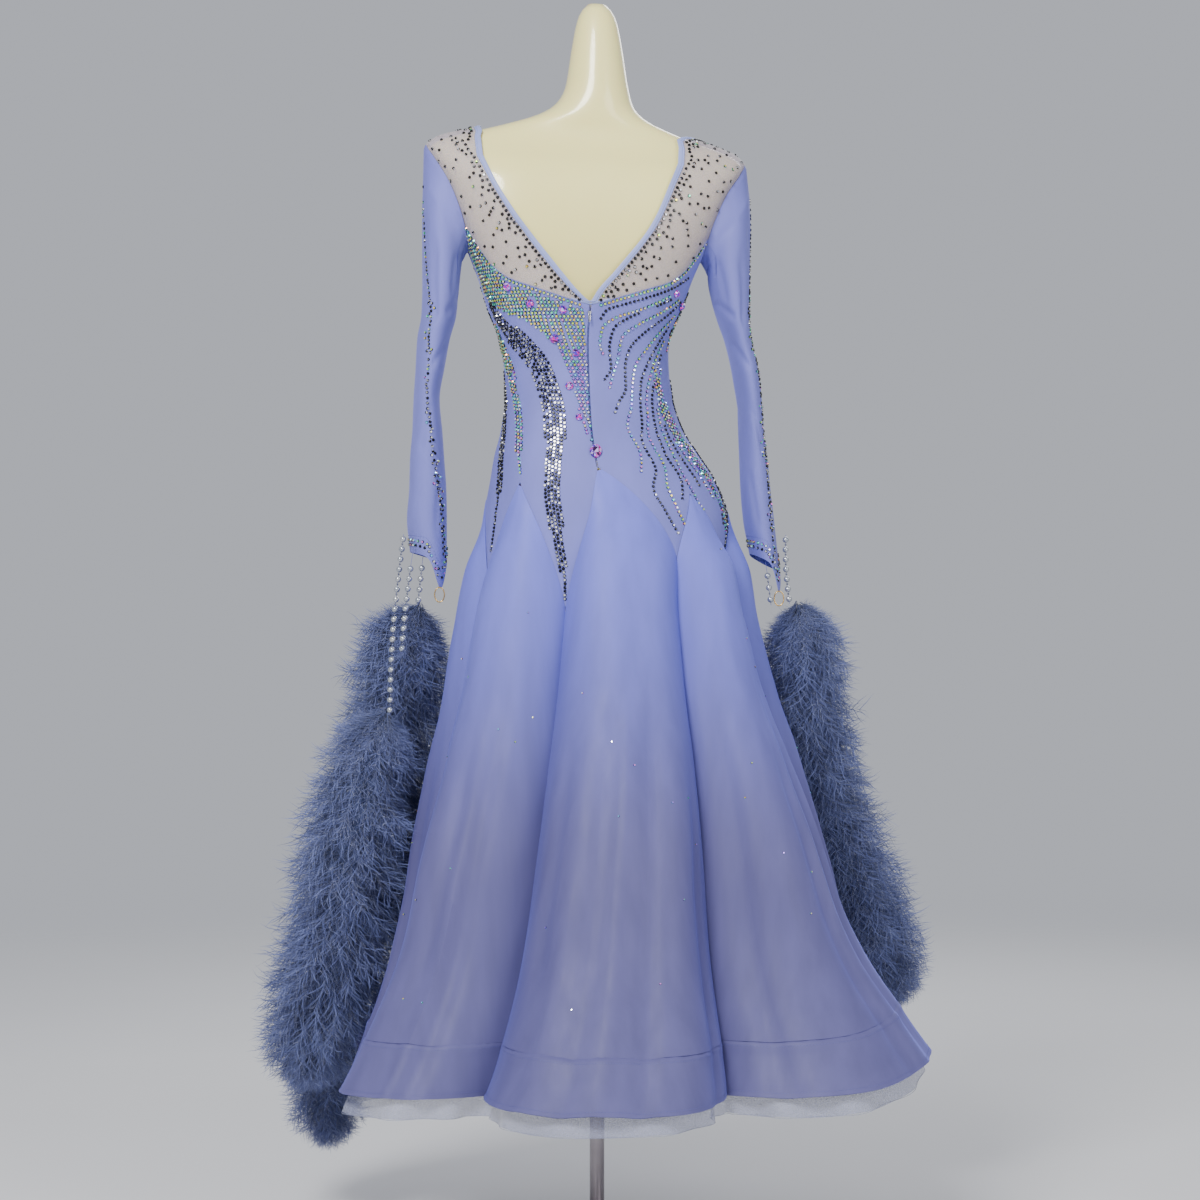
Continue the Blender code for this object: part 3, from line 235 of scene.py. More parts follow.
# Creases pressed into a cloth piece: across and down where each starts and ends, sideways bow between them as a
# share, half width and height (below zero it is a trough), both in millimetres
GODET_CREASES = {
    "back": [
        (0.36, 0.30, 0.40, 1.25, 0.02, 15, -6.8), (0.62, 0.38, 0.66, 1.25, -0.02, 19, -6.0),
        (0.50, 0.34, 0.53, 1.10, 0.01, 11, 3.8), (0.80, 0.42, 0.84, 0.93, 0.02, 13, -4.5),
        (0.13, 0.50, 0.11, 1.25, 0.00, 12, -5.2), (0.73, 0.60, 0.77, 1.25, 0.00, 9, 3.3),
    ],
    "back_left": [
        (0.30, 0.28, 0.25, 1.25, 0.02, 15, -6.0), (0.47, 0.44, 0.46, 0.92, -0.02, 11, -3.9),
        (0.76, 0.34, 0.80, 1.25, 0.01, 16, -6.6), (0.37, 0.55, 0.36, 1.25, 0.00, 10, 3.9),
        (0.90, 0.50, 0.91, 0.96, 0.00, 8, 2.7),
    ],
    "left": [
        (0.28, 0.36, 0.24, 1.25, 0.02, 14, -5.7), (0.56, 0.30, 0.60, 1.25, -0.01, 17, -6.3),
        (0.78, 0.52, 0.80, 1.25, 0.00, 10, -3.9), (0.66, 0.44, 0.70, 0.95, 0.01, 9, 3.0),
    ],
    "front_left": [
        (0.20, 0.40, 0.17, 1.25, 0.01, 13, -5.1), (0.52, 0.28, 0.55, 1.25, -0.02, 17, -6.3),
        (0.72, 0.48, 0.76, 1.25, 0.01, 12, -4.8), (0.60, 0.36, 0.66, 0.97, 0.00, 9, 3.3),
    ],
    "front": [
        (0.24, 0.34, 0.21, 1.25, 0.02, 16, -6.3), (0.45, 0.46, 0.44, 1.25, -0.01, 12, -4.5),
        (0.83, 0.42, 0.86, 1.25, 0.00, 12, -5.1), (0.34, 0.50, 0.33, 0.96, 0.01, 9, 3.0),
    ],
    "front_right": [
        (0.47, 0.30, 0.49, 1.25, -0.02, 16, -6.3), (0.68, 0.44, 0.72, 1.25, 0.01, 13, -5.1),
        (0.86, 0.52, 0.88, 0.98, 0.00, 9, -3.3), (0.57, 0.38, 0.61, 0.95, 0.01, 9, 3.3),
    ],
    "right": [
        (0.28, 0.30, 0.26, 1.25, 0.01, 16, -6.0), (0.74, 0.36, 0.77, 1.25, -0.01, 15, -5.7),
        (0.42, 0.52, 0.41, 1.25, 0.00, 10, -3.6), (0.64, 0.46, 0.65, 0.97, 0.00, 9, 3.0),
    ],
    "back_right": [
        (0.20, 0.30, 0.17, 1.25, -0.02, 14, -5.1), (0.36, 0.26, 0.32, 1.25, 0.02, 17, -6.9),
        (0.52, 0.40, 0.50, 1.25, 0.00, 13, -5.4), (0.86, 0.34, 0.88, 1.25, 0.01, 13, -5.7),
        (0.28, 0.48, 0.25, 0.97, 0.01, 9, 3.6), (0.44, 0.55, 0.42, 1.25, 0.00, 9, 3.0),
    ],
}
# Round a sleeve, 0 and 1 are where the armhole meets the back yoke seam; 0.36 is the top and the outer side
SLEEVE_CREASES = [
    (0.05, 0.03, 0.30, 0.20, 0.03, 7, -2.8), (0.93, 0.02, 0.80, 0.22, -0.02, 8, -3.2),
    (0.62, 0.05, 0.80, 0.24, 0.03, 9, -3.0), (0.16, 0.16, 0.20, 0.44, 0.03, 8, -2.8),
    (0.90, 0.30, 0.12, 0.40, 0.02, 8, -2.6), (0.98, 0.46, 0.18, 0.54, -0.02, 7, -2.6),
    (0.80, 0.42, 0.60, 0.54, 0.02, 8, -2.6), (0.74, 0.56, 0.90, 0.70, 0.02, 8, -2.2),
    (0.10, 0.62, 0.24, 0.76, 0.02, 7, -1.8), (0.50, 0.64, 0.58, 0.90, -0.02, 7, -1.6),
    (0.04, 0.78, 0.10, 0.95, 0.01, 6, -1.4), (0.02, 0.08, 0.06, 0.34, 0.01, 6, -2.2),
]
BODICE_CREASES = {
    "bodice_back_left": [
        (0.98, 0.40, 0.72, 0.47, 0.00, 6, -0.9), (0.98, 0.52, 0.66, 0.56, 0.00, 5, -0.8),
        (0.99, 0.20, 0.76, 0.30, 0.00, 7, -0.9), (0.98, 0.63, 0.78, 0.65, 0.00, 5, -0.6),
    ],
    "bodice_back_right": [
        (0.02, 0.38, 0.27, 0.46, 0.00, 6, -0.9), (0.02, 0.50, 0.33, 0.54, 0.00, 5, -0.8),
        (0.01, 0.18, 0.26, 0.29, 0.00, 7, -0.9), (0.02, 0.60, 0.20, 0.63, 0.00, 5, -0.6),
    ],
    "bodice_front": [
        (0.01, 0.40, 0.16, 0.48, 0.00, 6, -0.9), (0.01, 0.52, 0.20, 0.57, 0.00, 5, -0.8),
        (0.99, 0.39, 0.83, 0.47, 0.00, 6, -0.9), (0.99, 0.51, 0.79, 0.56, 0.00, 5, -0.8),
        (0.40, 0.58, 0.60, 0.60, 0.00, 6, -0.7),
    ],
}

# ---------------------------------------------------------------- curves and surfaces


def mix(low, high, share):
    return low + (high - low) * share


def smooth_step(low, high, value):
    share = min(max((value - low) / (high - low), 0.0), 1.0)
    return share * share * (3 - 2 * share)


# Slopes worked out so far, each kept with its table so that no later table can take the same id
SLOPES = {}


def row_slopes(rows, column):
    """Slopes of a smooth curve through a table's column that never overshoots its rows."""
    key = (id(rows), column)
    if key not in SLOPES:
        steps = [(high[column] - low[column]) / (high[0] - low[0]) for low, high in zip(rows, rows[1:])]
        slopes = [steps[0]]
        for before, after in zip(steps, steps[1:]):
            slopes.append(0.0 if before * after <= 0 else 2 * before * after / (before + after))
        SLOPES[key] = (slopes + [steps[-1]], rows)
    return SLOPES[key][0]


def from_table(rows, place, column=1):
    """The table's value at a place in its first column, on a smooth curve through its rows."""
    place = min(max(place, rows[0][0]), rows[-1][0])
    index = 0
    while index < len(rows) - 2 and rows[index + 1][0] <= place:
        index += 1
    low, high = rows[index], rows[index + 1]
    slopes = row_slopes(rows, column)
    width = high[0] - low[0]
    t = (place - low[0]) / width
    return (
        (2 * t**3 - 3 * t**2 + 1) * low[column]
        + (t**3 - 2 * t**2 + t) * width * slopes[index]
        + (3 * t**2 - 2 * t**3) * high[column]
        + (t**3 - t**2) * width * slopes[index + 1]
    )


def signed_power(value, power):
    return math.copysign(abs(value) ** power, value)


def torso_point(degrees, height):
    """A point of the cloth's outer surface over the torso."""
    angle = math.radians(degrees)
    half_width, back, front, middle, square = (from_table(TORSO, height, column) for column in range(1, 6))
    depth = back if math.cos(angle) > 0 else front
    x = half_width * signed_power(math.sin(angle), 2 / square)
    y = depth * signed_power(math.cos(angle), 2 / square)
    lift = SHOULDER_TILT * smooth_step(TILT_FROM, TILT_TO, height) * x
    return Vector((middle + x, y, height + lift))


def torso_normal(degrees, height):
    turn, rise = 0.5, 0.002
    across = torso_point(degrees + turn, height) - torso_point(degrees - turn, height)
    down = torso_point(degrees, height - rise) - torso_point(degrees, height + rise)
    return across.cross(down).normalized()


def outward(degrees):
    angle = math.radians(degrees)
    return Vector((math.sin(angle), math.cos(angle), 0.0))


def nudged(degrees, height, distance):
    """The angle that lies this far along the surface, towards larger angles if the distance is positive."""
    step = (torso_point(degrees + 0.5, height) - torso_point(degrees - 0.5, height)).length
    return degrees + distance / step


def lower_armhole_height(degrees):
    share = (degrees - ARMHOLE_ANGLE) / ARMHOLE_HALF_ANGLE
    return ARMHOLE_HEIGHT - ARMHOLE_HALF_HEIGHT * math.sqrt(1 - share * share)


def upper_armhole_place(step):
    """Angle and height on the armhole, in steps from its back corner over the top to its front corner."""
    corner = math.asin(ARMHOLE_CORNER / ARMHOLE_HALF_ANGLE) + math.pi / 2
    turn = mix(-corner, corner, step / ARMHOLE_UPPER_STEPS)
    return (
        ARMHOLE_ANGLE + ARMHOLE_HALF_ANGLE * math.sin(turn),
        ARMHOLE_HEIGHT + ARMHOLE_HALF_HEIGHT * math.cos(turn),
    )


def bodice_top(degrees):
    """Height of the bodice's top edge: the yoke seam, and the lower edge of the armhole between its corners."""
    half = abs((degrees + 180) % 360 - 180)
    if abs(half - ARMHOLE_ANGLE) <= ARMHOLE_CORNER:
        return lower_armhole_height(half)
    return from_table(BACK_YOKE_SEAM if half < ARMHOLE_ANGLE else FRONT_YOKE_SEAM, half)


def apex(index):
    """Angle and height of a godet's point, counting on past the last godet."""
    godet = GODETS[index % len(GODETS)]
    return godet.apex_angle + 360 * (index // len(GODETS)), godet.apex_height


def bodice_tip(index):
    """Angle and height of the bodice point between a godet and the next one."""
    godet = GODETS[index % len(GODETS)]
    return godet.tip_angle + 360 * (index // len(GODETS)), godet.tip_height


def edge_place(apex_place, tip_place, row):
    """Angle and height, row by row, on the seam from a godet's point down to a bodice point."""
    share = row / POINT_ROWS * (1 - TIP_END)
    opened = 1 - (1 - share) ** EDGE_BOW
    return mix(apex_place[0], tip_place[0], opened), mix(apex_place[1], tip_place[1], share)


def seam_angle_below(index, height):
    """Angle of the seam between a godet and the next one, below the bodice point."""
    godet = GODETS[index % len(GODETS)]
    tip_angle, tip_height = bodice_tip(index)
    hem_angle = godet.seam_angle + 360 * (index // len(GODETS))
    return mix(hem_angle, tip_angle, (max(height - HEM, 0.0) / (tip_height - HEM)) ** SEAM_BOW)


def torso_radius(degrees):
    point = torso_point(degrees, TORSO_BELOW)
    return Vector((point.x, point.y)).length


HEM_RADII = {degrees: torso_radius(degrees) for godet in GODETS for degrees in (godet.apex_angle, godet.seam_angle)}


def seam_flare(index, height):
    """How far the seam between two godets stands out from the torso."""
    godet = GODETS[index % len(GODETS)]
    at_tip = from_table(FLARE, godet.tip_height)
    share = max((from_table(FLARE, height) - at_tip) / (1 - at_tip), 0.0)
    return (godet.seam_radius - HEM_RADII[godet.seam_angle]) * share


def skirt_edge(index, side, row):
    """Angle, height and flare on a godet's edge, at any row: side 1 is the edge towards the next godet."""
    seam = index if side > 0 else index - 1
    if row <= POINT_ROWS:
        degrees, height = edge_place(apex(index), bodice_tip(seam), max(row, GODET_START))
        return degrees, height, 0.0
    tip_height = bodice_tip(seam)[1]
    height = mix(tip_height, BAND_TOP, row - POINT_ROWS)
    return seam_angle_below(seam, height), height, seam_flare(seam, height)


def skirt_point(degrees, height, flare):
    point = torso_point(degrees, max(height, TORSO_BELOW)) + outward(degrees) * flare
    middle, rise, reach = HEM_RISE
    away = (degrees - middle + 180) % 360 - 180
    point.z = height + rise * math.exp(-((away / reach) ** 2)) * (1 - smooth_step(HEM, RISE_TOP, height))
    return point


def lobe_flare(index, share, height, edge_flare):
    godet = GODETS[index % len(GODETS)]
    out = 1 - abs(2 * share - 1) ** LOBE_SQUARENESS
    full = (godet.hem_radius - HEM_RADII[godet.apex_angle]) * from_table(FLARE, height)
    full *= smooth_step(godet.apex_height + 0.01, godet.apex_height - 0.10, height)
    fold = godet.fold_height * math.exp(-(((share - godet.fold_place) / FOLD_WIDTH) ** 2)) * from_table(FLARE, height)
    return edge_flare + (max(full - edge_flare, 0.0) + fold) * out


def godet_point(index, across, down):
    """A point of a godet's outer side: down is 0 at its point and 1 at the hem band."""
    if down < POINT_SHARE:
        row = POINT_ROWS * down / POINT_SHARE
    else:
        row = POINT_ROWS + (down - POINT_SHARE) / (1 - POINT_SHARE)
    near_angle, near_z, near_flare = skirt_edge(index, -1, row)
    far_angle, far_z, far_flare = skirt_edge(index, 1, row)
    height = mix(near_z, far_z, across)
    flare = lobe_flare(index, across, height, mix(near_flare, far_flare, across))
    return skirt_point(mix(near_angle, far_angle, across), height, flare)


def hem_point(round_share, height):
    """A point round all the godets at a height in the hem band."""
    index, across = divmod(round_share * len(GODETS), 1.0)
    index = int(index)
    across = column_share(across)
    near_flare, far_flare = seam_flare(index - 1, height), seam_flare(index, height)
    degrees = mix(seam_angle_below(index - 1, height), seam_angle_below(index, height), across)
    flare = lobe_flare(index, across, height, mix(near_flare, far_flare, across))
    return skirt_point(degrees, height, flare)


def column_share(even):
    """Even columns drawn a little towards the seams, where the cloth turns most."""
    return mix(even, (1 - math.cos(math.pi * even)) / 2, 0.5)


def bodice_point(first, last, across, down):
    """A point of a bodice panel above the godets' points."""
    sector, share = divmod(across * (last - first), 1.0)
    if across >= 1.0:
        sector, share = last - first - 1, 1.0
    index = first + int(sector)
    top_degrees = (index + share) * SECTOR_ANGLE
    (near_angle, near_z), (far_angle, far_z) = apex(index), apex(index + 1)
    degrees = mix(top_degrees, mix(near_angle, far_angle, share), down)
    height = mix(bodice_top(top_degrees) - SLANT_GAP, mix(near_z, far_z, share), down)
    if across in (0.0, 1.0):
        at_back = (first % len(GODETS) == 0 and across == 0.0) or (last % len(GODETS) == 0 and across == 1.0)
        gap = ZIP_GROOVE / 2 if at_back else SLANT_GAP / 2
        degrees = nudged(degrees, height, gap if across == 0.0 else -gap)
    return torso_point(degrees, height)


def bodice_tongue(index, across, down):
    """A point of the bodice tongue that hangs between a godet and the next one."""
    near_angle, near_z = edge_place(apex(index), bodice_tip(index), POINT_ROWS * down)
    far_angle, far_z = edge_place(apex(index + 1), bodice_tip(index), POINT_ROWS * down)
    if down > 0:
        near_angle = nudged(near_angle, near_z, SLANT_GAP / 2)
        far_angle = nudged(far_angle, far_z, -SLANT_GAP / 2)
    return torso_point(mix(near_angle, far_angle, across), mix(near_z, far_z, across))


def yoke_line(side):
    """Matched places along the neckline and along the yoke's lower edge, from the back round to the front."""
    corner = 90 - ARMHOLE_CORNER
    pairs = []
    for degrees in range(3, corner, 3):
        neck = 0.8 * degrees / 9 if degrees < 9 else mix(0.8, NECK_MATCH[side][0][1], (degrees - 9) / (corner - 9))
        pairs.append(((neck, from_table(BACK_NECKLINE[side], neck)), (degrees, from_table(BACK_YOKE_SEAM, degrees))))
    for third in range(ARMHOLE_UPPER_STEPS * 3 + 1):
        neck = from_table(NECK_MATCH[side], third / 3)
        table = BACK_NECKLINE[side] if neck < 90 else FRONT_NECKLINE
        pairs.append(((neck, from_table(table, neck)), upper_armhole_place(third / 3)))
    for degrees in range(180 - corner + 3, 180, 3):
        neck = mix(151.0, 179.0, (degrees - 180 + corner) / corner)
        pairs.append(((neck, from_table(FRONT_NECKLINE, neck)), (degrees, from_table(FRONT_YOKE_SEAM, degrees))))
    return [((side * a, b), (side * c, d)) for (a, b), (c, d) in pairs]


def finer(line, parts):
    """The matched places of a yoke's line, with more of them evenly between."""
    for first, second in zip(line, line[1:]):
        for part in range(parts):
            yield [tuple(mix(a, b, part / parts) for a, b in zip(*ends)) for ends in zip(first, second)]


def torso_between(inner, outer, share):
    return torso_point(mix(inner[0], outer[0], share), mix(inner[1], outer[1], share))


def share_at(inner, outer, distance):
    """The share of the way from the neckline to the yoke's lower edge that is this far across the cloth."""
    steps = 24
    walked, before = 0.0, torso_between(inner, outer, 0.0)
    for step in range(1, steps + 1):
        here = torso_between(inner, outer, step / steps)
        length = (here - before).length
        if walked + length >= distance:
            return (step - 1 + (distance - walked) / length) / steps
        walked += length
        before = here
    return 1.0


# ---------------------------------------------------------------- sleeves' shape


def armhole_place(step):
    """Angle and height on the armhole's whole round, from its back corner, over the top and back under the arm."""
    step %= ARMHOLE_STEPS
    if step <= ARMHOLE_UPPER_STEPS:
        degrees, height = upper_armhole_place(step)
    else:
        lower = (step - ARMHOLE_UPPER_STEPS) / (ARMHOLE_STEPS - ARMHOLE_UPPER_STEPS)
        degrees = mix(ARMHOLE_ANGLE + ARMHOLE_CORNER, ARMHOLE_ANGLE - ARMHOLE_CORNER, lower)
        height = lower_armhole_height(degrees)
    return mix(ARMHOLE_ANGLE, degrees, ARMHOLE_INSET), mix(ARMHOLE_HEIGHT, height, ARMHOLE_INSET)


class SleeveShape:
    """Gives the points of one sleeve's outer side: round from 0 to 1, and down from 0 to 1."""

    def __init__(self, side, table, cuff_point):
        self.side = side
        self.table = [(row, *values) for row, values in enumerate(table)]
        self.cuff_point = cuff_point
        slant = math.radians(ARMHOLE_SLANT)
        self.along = Vector((side * math.cos(slant), 0, -math.sin(slant)))
        self.across = Vector((side * math.sin(slant), 0, math.cos(slant)))
        ring = [self.armhole_point(step) for step in range(ARMHOLE_STEPS)]
        self.middle = sum(ring, Vector()) / len(ring)
        self.first_turn = self.own_turn(self.armhole_point(0))

    def armhole_point(self, step):
        degrees, height = armhole_place(step)
        return torso_point(self.side * degrees, height) + self.along * SEAM_GAP

    def own_turn(self, point):
        offset = point - self.middle
        return math.atan2(offset.y / ARMHOLE_RADII[0], offset.dot(self.across) / ARMHOLE_RADII[1])

    def point(self, around, down):
        edge = self.armhole_point(around * ARMHOLE_STEPS)
        rows = len(self.table) - 1
        row = down * (rows + 1) - 1
        even = self.first_turn - 2 * math.pi * around
        own = self.own_turn(edge)
        own += 2 * math.pi * round((even - own) / (2 * math.pi))
        turn = mix(own, even, min(max(row, 0.0) / 4, 1.0))
        if row >= 0:
            return self.ring_point(row, turn)
        lip = edge + self.along * ARMHOLE_LIP
        return lip.lerp(self.ring_point(0, turn), row + 1) if down > 0 else edge

    def point_and_normal(self, around, down):
        point = self.point(around % 1.0, down)
        inside = (point + self.point((around + 0.5) % 1.0, down)) / 2
        return point, (point - inside).normalized()

    def ring_length(self, down, parts):
        return sum((self.point((n + 1) / parts, down) - self.point(n / parts, down)).length for n in range(parts))

    def ring_point(self, row, turn):
        outer_x, outer_z, inner_x, inner_z, y, depth = (from_table(self.table, row, n) for n in range(1, 7))
        outer, inner = Vector((self.side * outer_x, y, outer_z)), Vector((self.side * inner_x, y, inner_z))
        point = (outer + inner) / 2 + (outer - inner) / 2 * math.cos(turn) + Vector((0, depth * math.sin(turn), 0))
        centre, dip, width = self.cuff_point
        away = (math.degrees(turn) - centre + 180) % 360 - 180
        last = len(self.table) - 1
        share = smooth_step(last - 1.6, last, row)
        point.z -= share * dip * math.exp(-((away / width) ** 2))
        return point


# ---------------------------------------------------------------- zip's places

ZIP_GROOVE = 2.6 * MM
ZIP_TOP = 1.2170
ZIP_BOTTOM = 1.024
SLIDER_SIZE = (5.0 * MM, 1.8 * MM, 9.0 * MM)
SLIDER_HEIGHT = 1.2085
SLIDER_LIFT = 1.0 * MM
BAIL_RADIUS = 1.35 * MM
BAIL_WIRE = 0.4 * MM
COIL_PITCH = 0.75 * MM


def zip_angle(height):
    share = (bodice_top(0) - height) / (bodice_top(0) - GODETS[0].apex_height)
    return mix(0.0, GODETS[0].apex_angle, share)


def slider_place():
    degrees = zip_angle(SLIDER_HEIGHT)
    return torso_point(degrees, SLIDER_HEIGHT) + torso_normal(degrees, SLIDER_HEIGHT) * SLIDER_LIFT


def pull_axis():
    return slider_place() + Vector((0, SLIDER_SIZE[1] + 1.25 * MM, SLIDER_SIZE[2] * 0.10))


# ---------------------------------------------------------------- materials


class Finish:
    """A new material with a Principled shader, and short ways to add detail on Object coordinates to it."""

    def __init__(self, name, colour, roughness, metallic=0.0, **inputs):
        self.material = bpy.data.materials.new(name)
        self.material.use_nodes = True
        self.tree = self.material.node_tree
        self.shader = self.tree.nodes["Principled BSDF"]
        self.set(Base_Color=colour, Roughness=roughness, Metallic=metallic, **inputs)
        self.place = self.node("TexCoord").outputs["Object"]

    def feed(self, socket, value):
        """Joins an output to a socket, or sets the socket to a number, a vector or a colour."""
        if hasattr(value, "is_output"):
            self.tree.links.new(value, socket)
        elif hasattr(value, "__len__"):
            socket.default_value = (*value, 1.0)[:len(socket.default_value)]
        else:
            socket.default_value = value

    def set(self, **inputs):
        for key, value in inputs.items():
            self.feed(self.shader.inputs[key.replace("_", " ")], value)

    def node(self, kind, **values):
        """A new node: a value in lower case is a setting of its own, and any other goes to that input."""
        node = self.tree.nodes.new("ShaderNode" + kind)
        for key, value in values.items():
            if key.islower():
                setattr(node, key, value)
            else:
                self.feed(node.inputs[key.replace("_", " ")], value)
        return node

    def noise(self, scale, detail=3.0, stretch=(1, 1, 1)):
        mapping = self.node("Mapping", Scale=stretch, Vector=self.place)
        return self.node("TexNoise", Scale=scale, Detail=detail, Vector=mapping.outputs["Vector"]).outputs["Fac"]

    def ramp(self, factor, low, high, start=0.3, end=0.7):
        """Low turns to high, both colours, as factor goes from start to end."""
        ramp = self.node("ValToRGB", Fac=factor)
        for element, position, colour in zip(ramp.color_ramp.elements, (start, end), (low, high)):
            element.position = position
            element.color = (*colour, 1.0)
        return ramp.outputs["Color"]

    def blend(self, factor, first, second, blend_type="MIX"):
        mixer = self.node("Mix", data_type="RGBA", blend_type=blend_type)
        for number, value in ((0, factor), (6, first), (7, second)):
            self.feed(mixer.inputs[number], value)
        return mixer.outputs[2]

    def map_range(self, value, low, high, start=0.0, end=1.0):
        """Goes smoothly from start to end as the value goes from low to high."""
        share = self.node(
            "MapRange", interpolation_type="SMOOTHSTEP", Value=value, From_Min=low, From_Max=high, To_Min=start,
            To_Max=end,
        )
        return share.outputs["Result"]

    def height_share(self, low, high):
        """0 at the low height and 1 at the high one."""
        return self.map_range(self.node("SeparateXYZ", Vector=self.place).outputs["Z"], low, high)

    def roughened(self, factor, low, high):
        self.set(Roughness=self.ramp(factor, (low,) * 3, (high,) * 3))

    def bumped(self, factor, strength, distance):
        self.set(Normal=self.node("Bump", Strength=strength, Distance=distance, Height=factor).outputs["Normal"])

    def sheer(self, opacity):
        """Lets light through: the opacity is a number or an output."""
        mixer = self.node("MixShader", Fac=opacity)
        self.feed(mixer.inputs[1], self.node("BsdfTransparent").outputs[0])
        self.feed(mixer.inputs[2], self.shader.outputs[0])
        self.feed(self.tree.nodes["Material Output"].inputs["Surface"], mixer.outputs[0])

    def from_attribute(self, name):
        return self.node("Attribute", attribute_name=name).outputs["Color"]


def shaded(colour, factor, most=1.0):
    return tuple(min(channel * factor, most) for channel in colour)


STRETCH_COLOUR = (0.166, 0.175, 0.520)
SKIRT_TOP_COLOUR = (0.160, 0.178, 0.656)
SKIRT_HEM_COLOUR = (0.100, 0.095, 0.236)
# The boa's down is darker at the plumes' roots and in its core: painted shade deep in the boa.
BOA_SHADED_ROOT_COLOUR = (0.050, 0.069, 0.172)
BOA_TIP_COLOUR = (0.152, 0.187, 0.425)
FORM_COLOUR = (0.985, 0.885, 0.355)


def cloth_finish(name, colour, roughness, sheen, knit_scale, streaks):
    """Dyed cloth: a fine knit or weave in the surface, and soft uneven tone along its length."""
    finish = Finish(
        name, colour, roughness, Sheen_Weight=sheen, Sheen_Roughness=0.4, Sheen_Tint=shaded(colour, 1.6),
        Specular_IOR_Level=0.35,
    )
    tone = finish.noise(7.0, 4.0, streaks)
    finish.set(Base_Color=finish.ramp(tone, shaded(colour, 0.90), shaded(colour, 1.10)))
    finish.roughened(tone, roughness - 0.06, roughness + 0.06)
    finish.bumped(finish.noise(knit_scale, 2.0, (1.0, 1.0, 0.45)), 0.25, 0.25 * MM)
    return finish


def skirt_finish(name, roughness):
    """Organza over a matt layer, greyer towards the hem, with a painted sheen: soft lighter and darker streaks that run
    down the cloth.
    """
    finish = cloth_finish(name, SKIRT_TOP_COLOUR, roughness, 0.55, 1400.0, (9.0, 9.0, 0.7))
    # Painted sheen: long streaks of lighter and darker colour down the cloth.
    tone = finish.noise(6.0, 4.0, (7.0, 7.0, 0.5))
    upper = finish.ramp(tone, shaded(SKIRT_TOP_COLOUR, 0.94), shaded(SKIRT_TOP_COLOUR, 1.07))
    lower = finish.ramp(tone, shaded(SKIRT_HEM_COLOUR, 0.93), shaded(SKIRT_HEM_COLOUR, 1.09))
    finish.set(Base_Color=finish.blend(finish.height_share(0.50, 0.98), lower, upper))
    finish.set(Specular_IOR_Level=0.22)
    return finish


def sheer_finish(name, colour, opacity, thread_scale, contrast):
    """Net: threads with clear gaps between them, too fine to see from a step away."""
    finish = Finish(name, colour, 0.6, Sheen_Weight=0.4)
    threads = finish.noise(thread_scale, 1.0)
    finish.set(Base_Color=finish.ramp(threads, shaded(colour, 0.86), shaded(colour, 1.12)))
    low, high = opacity * (1 - contrast), min(opacity * (1 + contrast), 1.0)
    finish.sheer(finish.ramp(threads, (low,) * 3, (high,) * 3))
    return finish


